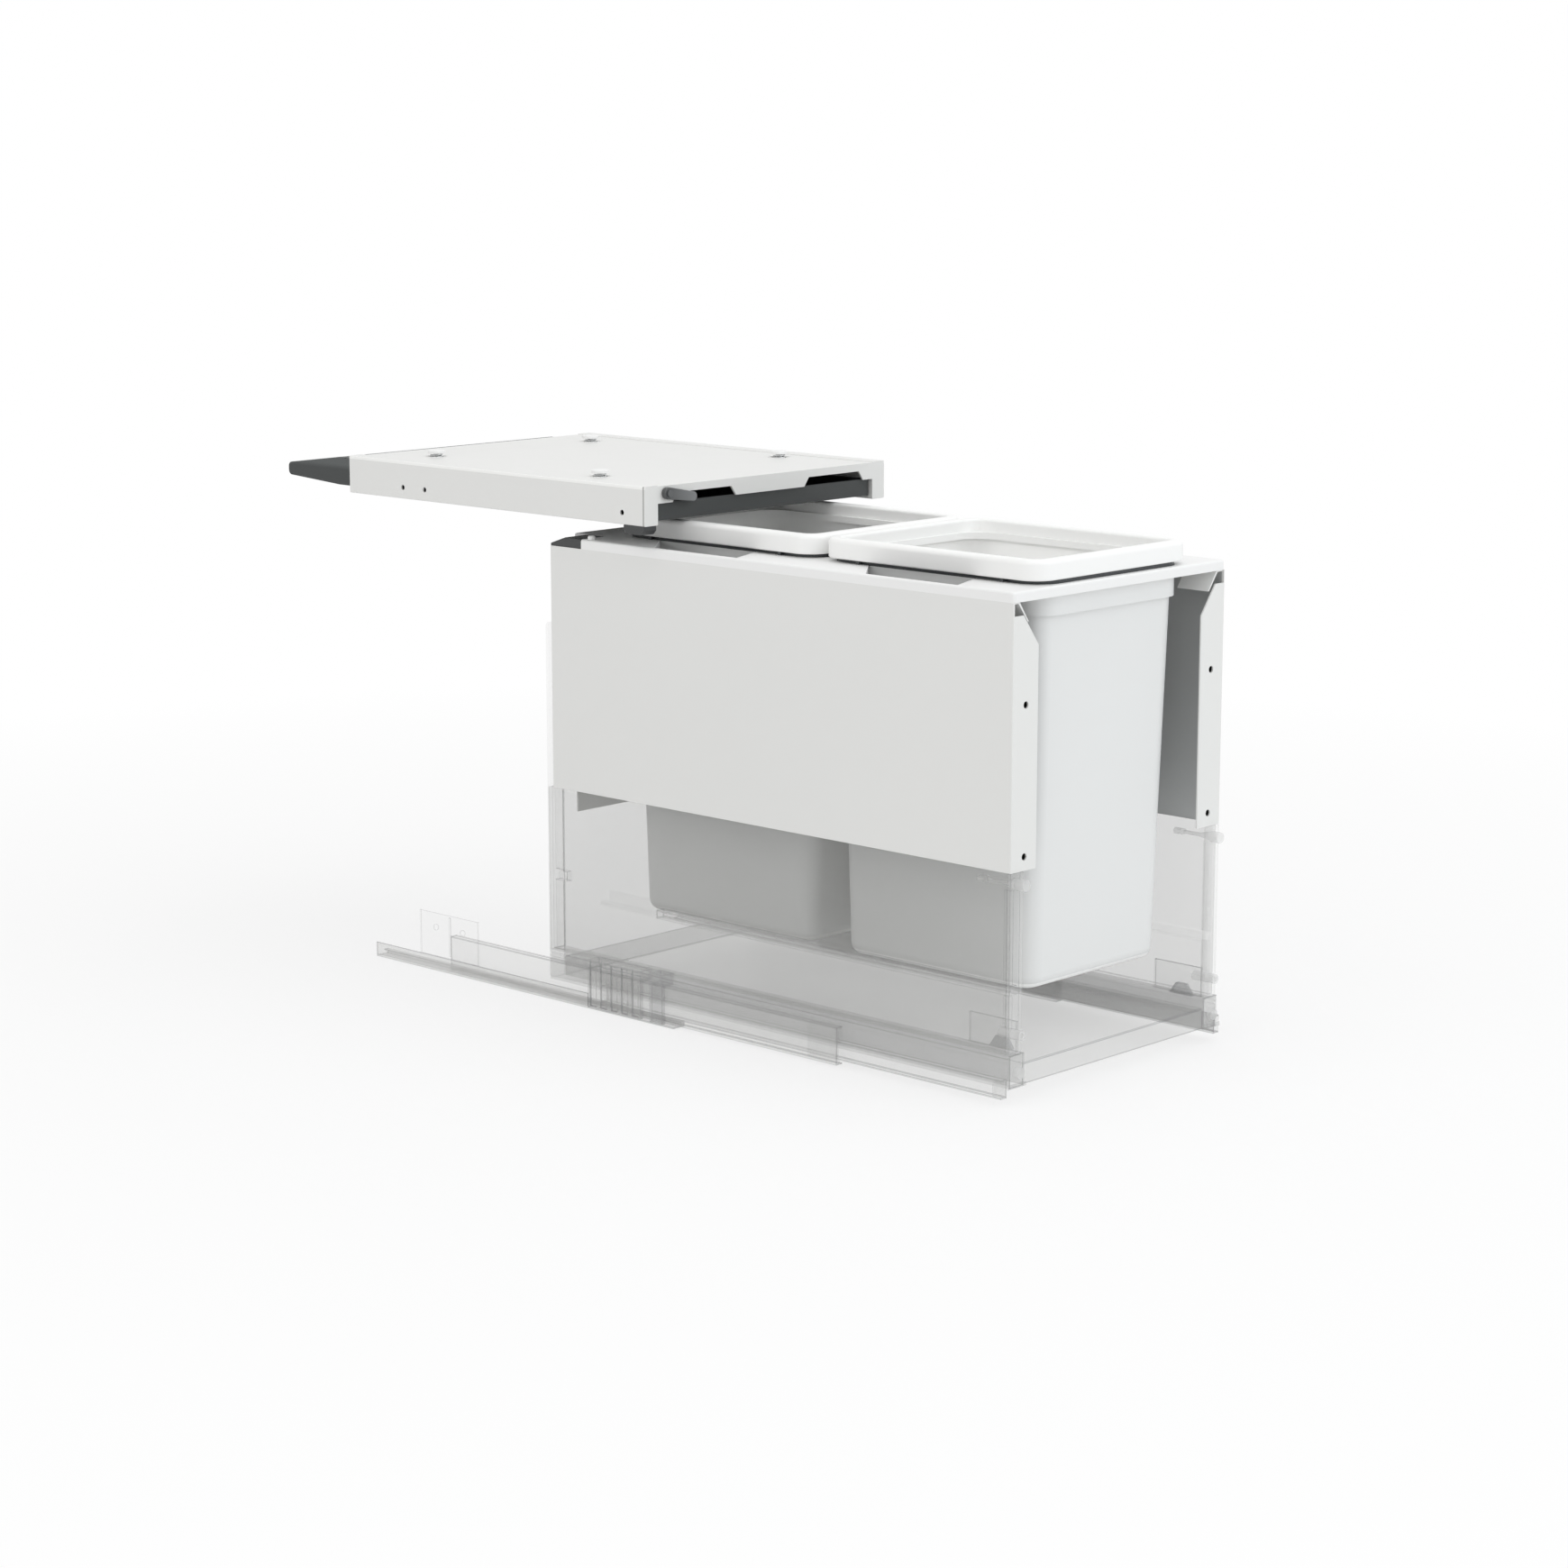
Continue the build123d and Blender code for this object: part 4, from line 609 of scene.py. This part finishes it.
def lever_moulding(name, colour):
    """The lever's moulding: dark round its pivot and paler towards its tip."""
    finish = Finish(name)
    low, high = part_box("lid_lever")
    reach = ((finish.place.along(0) - low[0]) / (high[0] - low[0])).held()
    tone = finish.place.noise(*LEVER_FLOW).spread(LEVER_SPREAD, reach).tones(colour, *LEVER_TONES)
    return plastic(finish, tone, roughness=0.4, grain=FINE_GRAIN)


def make_finishes(settings):
    """Every finish by name."""
    return {
        "paint": powder_coat("frame_powder_coat", settings.paint),
        "panel": panel_coat_painted_shade("panel_powder_coat", settings.paint, settings.panel_inside_shade),
        "beam": beam_coat_painted_light("beam_powder_coat", settings.paint),
        "plate": moulding("plate_moulding", settings.plate, roughness=0.38),
        "bin": bin_moulding("bin_moulding", settings),
        "dark": moulding("dark_moulding", settings.dark, roughness=0.5, drift=0.08),
        "lid": lid_moulding_painted_highlight("inner_lid_moulding", settings.lid),
        "lever": lever_moulding("lever_moulding", settings.lever),
        "roller": moulding("roller_moulding", settings.roller, roughness=0.35, drift=0.04),
        "steel": bare_metal("zinc", settings.steel, roughness=0.34),
        # Painted shade: near-black nut steel that makes the holes look shaded.
        "nut": bare_metal("blackened_steel", settings.nut, roughness=0.5),
        "rail": drawn_sheet("rail_sheet", settings.rail, settings.rail_body),
        "far_rail": drawn_sheet("far_rail_sheet", settings.rail, settings.far_rail_body),
        "near_rail": drawn_sheet("near_rail_sheet", settings.rail, settings.near_rail_body),
        "drawn": drawn_sheet("far_drawn_sheet", settings.profile, settings.drawn_body),
        "guide": moulding("guide_moulding", settings.guide, roughness=0.4, drift=0.04, body=settings.guide_body),
        "shoe": moulding("shoe_moulding", settings.guide, roughness=0.4, drift=0.04, body=settings.shoe_body),
        "stop": moulding("stop_moulding", settings.stop, roughness=0.45, drift=0.05, body=settings.guide_body),
        "block": moulding("block_moulding", settings.stop, roughness=0.45, drift=0.05, body=settings.block_body),
        "line": clear_sheet("edge_line", settings.line, settings.line_body),
        "glass": clear_sheet("drawer_glass", settings.glass, settings.glass_body),
        "profile": clear_sheet("profile_sheet", settings.profile, settings.profile_body),
        "base": clear_sheet("base_sheet", settings.base, settings.base_body),
        "clear": clear_sheet("clear_plate", settings.clear, settings.clear_body),
        "strip": front_strip_sheet("front_strip_sheet", settings),
        "pale": clear_sheet("pale_plate", settings.clear, settings.pale_body),
        "peg": moulding("peg_moulding", settings.clear, roughness=0.35, drift=0.04, body=settings.peg_body),
    }


NODE_FINISHES = {
    "paint": ["lid_cover", "cross_wall", "corner_gussets"],
    "beam": sided("lid_beam"),
    "panel": sided("frame_panel"),
    "plate": ["top_plate", "hanger_pins"],
    "bin": ["front_bin", "rear_bin"],
    "dark": ["corner_ramps", "lid_guide_pad"],
    "lid": ["inner_lid"],
    "lever": ["lid_lever"],
    "roller": ["lever_roller", "lever_pin", "plate_screws"],
    "steel": ["lid_springs"],
    "rail": sided("middle_rail") + ["left_drawer_rail"],
    "near_rail": ["left_cabinet_rail"],
    "far_rail": ["right_cabinet_rail"],
    "drawn": ["right_drawer_rail", "right_side_profile"],
    "guide": ["left_guide_block", "rail_caps"],
    "shoe": sided("middle_shoe", "drawer_shoe") + ["right_guide_block", "right_rail_stop"],
    "stop": ["left_rail_stop"],
    "glass": sided("glass_side"),
    "profile": ["left_side_profile", "front_blades"],
    "block": ["fixing_blocks"],
    "base": ["base_panel"],
    "clear": sided("fixing_plate") + ["left_gallery_rail", "back_panel", "end_caps"],
    "strip": sided("front_strip"),
    "pale": sided("back_holder", "rail_bracket") + ["right_gallery_rail"],
    "peg": ["front_pegs", "top_pegs"],
}
FINISH_OF = {node: finish for finish, nodes in NODE_FINISHES.items() for node in nodes}
BODY_OF = {node: body for body, nodes in frame["record"]["behaviour"]["bodies"].items() for node in nodes}

# The nodes whose edges are rounded: moulded, bent from sheet, and clear ones whose edges get the line's finish.
MOULDED = ["lid_lever", "lever_roller", "lid_guide_pad", "corner_ramps", "front_pegs", "top_pegs"]
BENT = sided("lid_beam")
LINED = [*sided("guide_block", "rail_stop"), "fixing_blocks",
         *sided("rail_bracket", "front_strip", "fixing_plate", "back_holder", "middle_rail", "drawer_rail"),
         "left_gallery_rail", "left_cabinet_rail", "base_panel", "end_caps"]


def finish_named(key):
    """A finish that the finishes operator has made."""
    return bpy.data.materials[bpy.context.scene["finishes"][key]]


def dress(piece, *finishes):
    """Gives a piece its finishes, one to a slot."""
    slots = piece.data.materials
    while len(slots) < len(finishes):
        slots.append(None)
    while len(slots) > len(finishes):
        slots.pop()
    for index, finish in enumerate(finishes):
        slots[index] = finish


def deselect():
    """Leaves nothing selected, in object mode."""
    if bpy.context.object and bpy.context.object.mode != "OBJECT":
        bpy.ops.object.mode_set(mode="OBJECT")
    bpy.ops.object.select_all(action="DESELECT")


def only(*pieces):
    """Selects only these pieces and makes the first one active."""
    deselect()
    for piece in pieces:
        piece.select_set(True)
    bpy.context.view_layer.objects.active = pieces[0]


def copied(piece):
    """A copy of a piece, with a mesh of its own."""
    only(piece)
    bpy.ops.object.duplicate(linked=False)
    copy = bpy.context.object
    copy.data = copy.data.copy()
    return copy


def delete(piece):
    """Takes a piece out of the scene."""
    only(piece)
    bpy.ops.object.delete()


def edit(piece):
    """Opens a piece in edit mode with all of it selected."""
    only(piece)
    bpy.ops.object.mode_set(mode="EDIT")
    bpy.ops.mesh.select_all(action="SELECT")


def pick(piece, kind, test):
    """In edit mode, selects only the faces or edges that pass a test."""
    bpy.ops.mesh.select_all(action="DESELECT")
    bpy.ops.mesh.select_mode(type=kind)
    shape = bmesh.from_edit_mesh(piece.data)
    found = [part for part in (shape.faces if kind == "FACE" else shape.edges) if test(part)]
    if not found:
        raise RuntimeError(f"{piece.name} has nothing to pick")
    for part in found:
        part.select_set(True)
    bmesh.update_edit_mesh(piece.data)


def close_ends(fill):
    """In edit mode, closes the open edges with an operator, turns the faces outwards and leaves edit mode."""
    bpy.ops.mesh.select_all(action="DESELECT")
    bpy.ops.mesh.select_mode(type="EDGE")
    bpy.ops.mesh.select_non_manifold()
    fill()
    bpy.ops.mesh.select_all(action="SELECT")
    bpy.ops.mesh.normals_make_consistent(inside=False)
    bpy.ops.object.mode_set(mode="OBJECT")


def apply_modifier(piece, kind, **values):
    """Adds a modifier, sets it and applies it."""
    only(piece)
    modifier = piece.modifiers.new(kind.lower(), kind)
    for name, value in values.items():
        setattr(modifier, name, value)
    bpy.ops.object.modifier_apply(modifier=modifier.name)


def settle(piece, name, body, finish, line=None):
    """Finishes a piece: its place goes into its mesh, and it rides on its body with its finish."""
    only(piece)
    bpy.ops.object.transform_apply(location=True, rotation=True, scale=True)
    piece.name = name
    piece.data.name = name
    dress(piece, *(finish_named(key) for key in (finish, line) if key))
    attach(piece, body)


def soften(node, width, line=None):
    """Stands in for a CAD node with the same shape and rounded edges, which may have a finish of their own."""
    source = frame["nodes"][node]
    piece = copied(source)
    piece.parent = None
    piece.matrix_world = source.matrix_world.copy()
    edit(piece)
    bpy.ops.mesh.remove_doubles(threshold=MERGE)
    bpy.ops.mesh.dissolve_limited(angle_limit=FLAT_ANGLE)
    bpy.ops.object.mode_set(mode="OBJECT")
    if line:
        dress(piece, finish_named(FINISH_OF[node]), finish_named(line))
    apply_modifier(piece, "BEVEL", width=width, segments=BEVEL_SEGMENTS, limit_method="ANGLE",
                   angle_limit=SHARP_ANGLE, harden_normals=False, use_clamp_overlap=True,
                   material=1 if line else -1)
    bpy.ops.object.shade_smooth_by_angle(angle=SMOOTH_ANGLE)
    apply_modifier(piece, "WEIGHTED_NORMAL", keep_sharp=True)
    settle(piece, f"{node}_rounded", BODY_OF[node], FINISH_OF[node], line)
    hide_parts(node)


class BINFRAME_OT_finishes(bpy.types.Operator):
    """Makes every finish and gives each CAD piece its own"""
    bl_idname = "binframe.finishes"
    bl_label = "Finishes"

    def execute(self, context):
        made = make_finishes(context.scene.binframe_finish)
        context.scene["finishes"] = {key: material.name for key, material in made.items()}
        for node, piece in frame["nodes"].items():
            dress(piece, made[FINISH_OF[node]])
        return {"FINISHED"}


class BINFRAME_OT_edges(bpy.types.Operator):
    """Rounds the edges of the mouldings and sheets that are drawn sharp"""
    bl_idname = "binframe.edges"
    bl_label = "Rounded edges"

    def execute(self, context):
        sizes = context.scene.binframe_hardware
        for node in MOULDED:
            soften(node, sizes.edge)
        for node in BENT:
            soften(node, sizes.sheet_edge)
        for node in LINED:
            soften(node, sizes.lined_edge, "line")
        return {"FINISHED"}


def press_nut(sizes):
    """A blind press nut at the origin: a flanged barrel with a dark bore."""
    deselect()
    bpy.ops.mesh.primitive_cylinder_add(vertices=NUT_SIDES, radius=sizes.nut_radius, depth=sizes.nut_depth)
    nut = bpy.context.object
    bpy.ops.object.mode_set(mode="EDIT")
    pick(nut, "FACE", lambda face: face.normal.z > FACES_UP)
    bpy.ops.mesh.inset(thickness=sizes.nut_radius * NUT_RIM_SHARE)
    bore = (0, 0, -sizes.nut_depth * NUT_BORE_SHARE)
    bpy.ops.mesh.extrude_region_move(TRANSFORM_OT_translate={"value": bore})
    pick(nut, "EDGE", lambda edge: all(abs(abs(corner.co.z) - sizes.nut_depth / 2) < SAME_HEIGHT
                                       and corner.co.xy.length > sizes.nut_radius * NUT_OUTER_SHARE
                                       for corner in edge.verts))
    bpy.ops.mesh.bevel(offset=sizes.nut_radius * NUT_BEVEL_SHARE, segments=BEVEL_SEGMENTS)
    bpy.ops.object.mode_set(mode="OBJECT")
    bpy.ops.object.shade_smooth_by_angle(angle=SHARP_ANGLE)
    return nut


def set_nut(model, place, turn, name, body):
    """Puts a copy of the nut in its place."""
    nut = copied(model)
    nut.rotation_euler = turn
    nut.location = place
    settle(nut, name, body, "nut")


class BINFRAME_OT_nuts(bpy.types.Operator):
    """Adds near-black press nuts behind the holes of the front flanges and lid beams, as painted shade in the
    holes
    """
    bl_idname = "binframe.nuts"
    bl_label = "Press nuts"

    def execute(self, context):
        sizes = context.scene.binframe_hardware
        half = sizes.nut_depth / 2
        mounts = {mount["name"]: mount for mount in frame["record"]["mounts"]}
        model = press_nut(sizes)
        panel = mounts["front_panel_screws"]
        dims = panel["dims"]
        for row, rise in (("low", -1), ("high", 1)):
            for side, across in zip(SIDES, (-1, 1)):
                place = Vector(panel["pos_m"])
                place += Vector((across * dims["spacing_x_mm"], 0, rise * dims["spacing_y_mm"])) * MM / 2
                place.y += PANEL_SHEET + half
                set_nut(model, place, (QUARTER_TURN, 0, 0), f"{side}_{row}_flange_nut", "drawer")
        for side, across in zip(SIDES, (-1, 1)):
            beam = mounts[f"{side}_lid_screws"]
            pitch = beam["dims"]["spacing_x_mm"] * MM
            for index, step in enumerate((-pitch / 2, pitch / 2, pitch / 2 + THIRD_NUT_STEP)):
                place = Vector(beam["pos_m"]) + Vector((-across * (BEAM_SHEET + half), step, 0))
                set_nut(model, place, (0, across * QUARTER_TURN, 0), f"{side}_beam_nut_{index + 1}",
                        "cabinet_fixing")
        delete(model)
        return {"FINISHED"}


def middle_of(points):
    """The middle of some points, seen from above."""
    return Vector([(min(values) + max(values)) / 2 for values in zip(*(point.xy for point in points))])


def cup_centres():
    """The middles of the four spring cups, from the spring solids."""
    springs = frame["nodes"]["lid_springs"]
    low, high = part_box("lid_springs")
    quarters = {}
    for vertex in springs.data.vertices:
        place = springs.matrix_world @ vertex.co
        quarters.setdefault((place.x > 0, place.y > (low[1] + high[1]) / 2), []).append(place)
    return [middle_of(quarters[key]) for key in sorted(quarters)]


def coil_spring(sizes, pitch):
    """A coil spring round the origin, wound up from a circle of wire, with closed ends."""
    deselect()
    bpy.ops.mesh.primitive_circle_add(vertices=WIRE_SIDES, radius=sizes.wire)
    coil = bpy.context.object
    coil.rotation_euler = (QUARTER_TURN, 0, 0)
    bpy.ops.object.transform_apply(location=False, rotation=True, scale=False)
    edit(coil)
    bpy.ops.transform.translate(value=(sizes.coil_radius, 0, 0))
    bpy.ops.object.mode_set(mode="OBJECT")
    apply_modifier(coil, "SCREW", angle=FULL_TURN, screw_offset=pitch, iterations=sizes.turns, steps=COIL_STEPS,
                   render_steps=COIL_STEPS, use_normal_calculate=True, use_merge_vertices=False)
    edit(coil)
    bpy.ops.mesh.remove_doubles(threshold=MERGE)
    close_ends(bpy.ops.mesh.edge_face_add)
    bpy.ops.object.shade_smooth()
    return coil


class BINFRAME_OT_springs(bpy.types.Operator):
    """Winds the four coil springs that hold the inner lid up"""
    bl_idname = "binframe.springs"
    bl_label = "Lid springs"

    def execute(self, context):
        sizes = context.scene.binframe_hardware
        low, high = (corner[2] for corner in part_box("lid_springs"))
        model = coil_spring(sizes, (high - low - 2 * sizes.wire) / sizes.turns)
        coils = []
        for centre in cup_centres():
            coil = copied(model)
            coil.location = (centre.x, centre.y, low + sizes.wire)
            coils.append(coil)
        delete(model)
        only(*coils)
        bpy.ops.object.join()
        springs = context.object
        settle(springs, "lid_spring_coils", "cabinet_fixing", "steel")
        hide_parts("lid_springs")
        drop = next(joint for joint in frame["record"]["behaviour"]["joints"] if joint["name"] == "lid_drop")
        travel = drop["range_m"][1] + sizes.spring_slack
        1 - travel / (high - low)
        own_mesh(springs)
        return {"FINISHED"}


def cup_bead(sizes):
    """A low round bead on the cover at the origin, its flat foot sunk a little."""
    deselect()
    bpy.ops.mesh.primitive_torus_add(major_segments=BEAD_SEGMENTS, minor_segments=BEAD_SIDES,
                                     major_radius=sizes.bead_radius, minor_radius=sizes.bead_width / 2,
                                     location=(0, 0, COVER_TOP))
    bead = bpy.context.object
    bead.scale.z = 2 * sizes.bead_height / sizes.bead_width
    bpy.ops.object.transform_apply(location=True, rotation=True, scale=True)
    edit(bead)
    bpy.ops.mesh.bisect(plane_co=(0, 0, COVER_TOP - BEAD_SUNK), plane_no=(0, 0, 1), clear_inner=True)
    close_ends(bpy.ops.mesh.fill)
    bpy.ops.object.shade_smooth()
    return bead


class BINFRAME_OT_cup_beads(bpy.types.Operator):
    """Adds the low beads pressed into the cover round the spring cups"""
    bl_idname = "binframe.cup_beads"
    bl_label = "Cup beads"

    def execute(self, context):
        model = cup_bead(context.scene.binframe_hardware)
        for index, centre in enumerate(cup_centres()):
            bead = copied(model)
            bead.location = (centre.x, centre.y, 0)
            settle(bead, f"cup_bead_{index + 1}", "cabinet_fixing", "paint")
        delete(model)
        return {"FINISHED"}


def softbox(name, place, width, power, tint):
    """A square soft lamp that points at the object's middle."""
    deselect()
    bpy.ops.object.light_add(type="AREA", location=place)
    lamp = bpy.context.object
    lamp.name = name
    lamp.data.shape = "SQUARE"
    lamp.data.size = width
    lamp.data.energy = power
    lamp.data.color = tint
    lamp.rotation_euler = (Vector(LAMP_AIM) - Vector(place)).to_track_quat("-Z", "Y").to_euler()


def rays(tree, kind):
    """One for the rays of a kind and nought for others."""
    return Value(tree).node("ShaderNodeLightPath", out=f"Is {kind} Ray")


def white_world(strength):
    """Even light from all round, seen as plain white by the camera, in metal and through glass."""
    world = bpy.data.worlds.new("studio")
    bpy.context.scene.world = world
    world.use_nodes = True
    tree = world.node_tree
    seen = (rays(tree, "Camera") + rays(tree, "Glossy") + rays(tree, "Transmission")).held()
    lit = tree.nodes["Background"]
    lit.inputs["Color"].default_value = WHITE
    tree.links.new((seen * (1 - strength) + strength).socket, lit.inputs["Strength"])


def floor_paint(white):
    """Pale floor that keeps a soft shadow near the object and fades to white further out."""
    finish = Finish("studio_floor")
    place = finish.place
    flat = place.node("ShaderNodeVectorMath", {"operation": "LENGTH"}, {0: place}, "Value")
    far = ((flat - SHADOW_REACH) / FLOOR_FADE).held()
    finish.set(Base_Color=place.noise(*FLOOR_CLOUD).blend(FLOOR_DARK, FLOOR_LIGHT), Roughness=FLOOR_ROUGHNESS,
               Specular_IOR_Level=FLOOR_SHINE)
    glow = place.node("ShaderNodeEmission", None, {"Color": WHITE, "Strength": 1.0})
    share = (far * (1 - white) + white) * rays(finish.tree, "Camera")
    paint = Value(finish.tree, finish.shader.outputs[0])
    mixed = place.node("ShaderNodeMixShader", None, {0: share, 1: paint, 2: glow})
    finish.tree.links.new(mixed.socket, finish.tree.nodes["Material Output"].inputs["Surface"])
    return finish.material


class BINFRAME_OT_stage(bpy.types.Operator):
    """Sets the floor, the lamps, the white surroundings and the camera"""
    bl_idname = "binframe.stage"
    bl_label = "Studio"

    def execute(self, context):
        settings = context.scene.binframe_stage
        context.scene.view_settings.view_transform = "Standard"
        context.scene.cycles.transparent_max_bounces = settings.clear_layers
        deselect()
        bpy.ops.mesh.primitive_plane_add(size=settings.floor_size, location=(0, 0, -FLOOR_DROP))
        floor = context.object
        floor.name = "studio_floor"
        dress(floor, floor_paint(settings.floor_glow))
        white_world(settings.sky)
        softbox("top_lamp", TOP_LAMP_PLACE, TOP_LAMP_WIDTH, settings.top_lamp, TOP_TINT)
        softbox("side_lamp", SIDE_LAMP_PLACE, LOW_LAMP_WIDTH, settings.side_lamp, SIDE_TINT)
        softbox("front_lamp", FRONT_LAMP_PLACE, LOW_LAMP_WIDTH, settings.front_lamp, settings.front_tint)
        bpy.ops.object.camera_add(location=settings.camera_place, rotation=settings.camera_turn)
        camera = context.object
        camera.name = "photo_camera"
        camera.data.sensor_width = FILM_WIDTH
        camera.data.lens = settings.lens
        camera.data.clip_start = NEAR_LIMIT
        context.scene.camera = camera
        return {"FINISHED"}


class BINFRAME_PT_panel(bpy.types.Panel):
    """Lists the dressing's steps and settings"""
    bl_label = "Bin Frame"
    bl_idname = "BINFRAME_PT_panel"
    bl_space_type = "VIEW_3D"
    bl_region_type = "UI"
    bl_category = "Bin Frame"

    def draw(self, context):
        for operator in OPERATORS:
            self.layout.operator(operator.bl_idname)
        scene = context.scene
        for group in (scene.binframe_finish, scene.binframe_hardware, scene.binframe_stage):
            box = self.layout.box()
            for name in group.__annotations__:
                box.prop(group, name)


OPERATORS = (BINFRAME_OT_finishes, BINFRAME_OT_edges, BINFRAME_OT_nuts, BINFRAME_OT_springs,
             BINFRAME_OT_cup_beads, BINFRAME_OT_stage)
CLASSES = (FinishSettings, HardwareSettings, StageSettings, *OPERATORS, BINFRAME_PT_panel)


def register():
    """Adds the classes and their settings to the scene."""
    for item in CLASSES:
        bpy.utils.register_class(item)
    bpy.types.Scene.binframe_finish = PointerProperty(type=FinishSettings)
    bpy.types.Scene.binframe_hardware = PointerProperty(type=HardwareSettings)
    bpy.types.Scene.binframe_stage = PointerProperty(type=StageSettings)


def unregister():
    """Takes the classes and their settings out again."""
    del bpy.types.Scene.binframe_stage
    del bpy.types.Scene.binframe_hardware
    del bpy.types.Scene.binframe_finish
    for item in reversed(CLASSES):
        bpy.utils.unregister_class(item)


def main():
    """Runs every step in order."""
    register()
    bpy.ops.binframe.finishes()
    bpy.ops.binframe.edges()
    bpy.ops.binframe.nuts()
    bpy.ops.binframe.springs()
    bpy.ops.binframe.cup_beads()
    bpy.ops.binframe.stage()


if __name__ == "__main__":
    main()
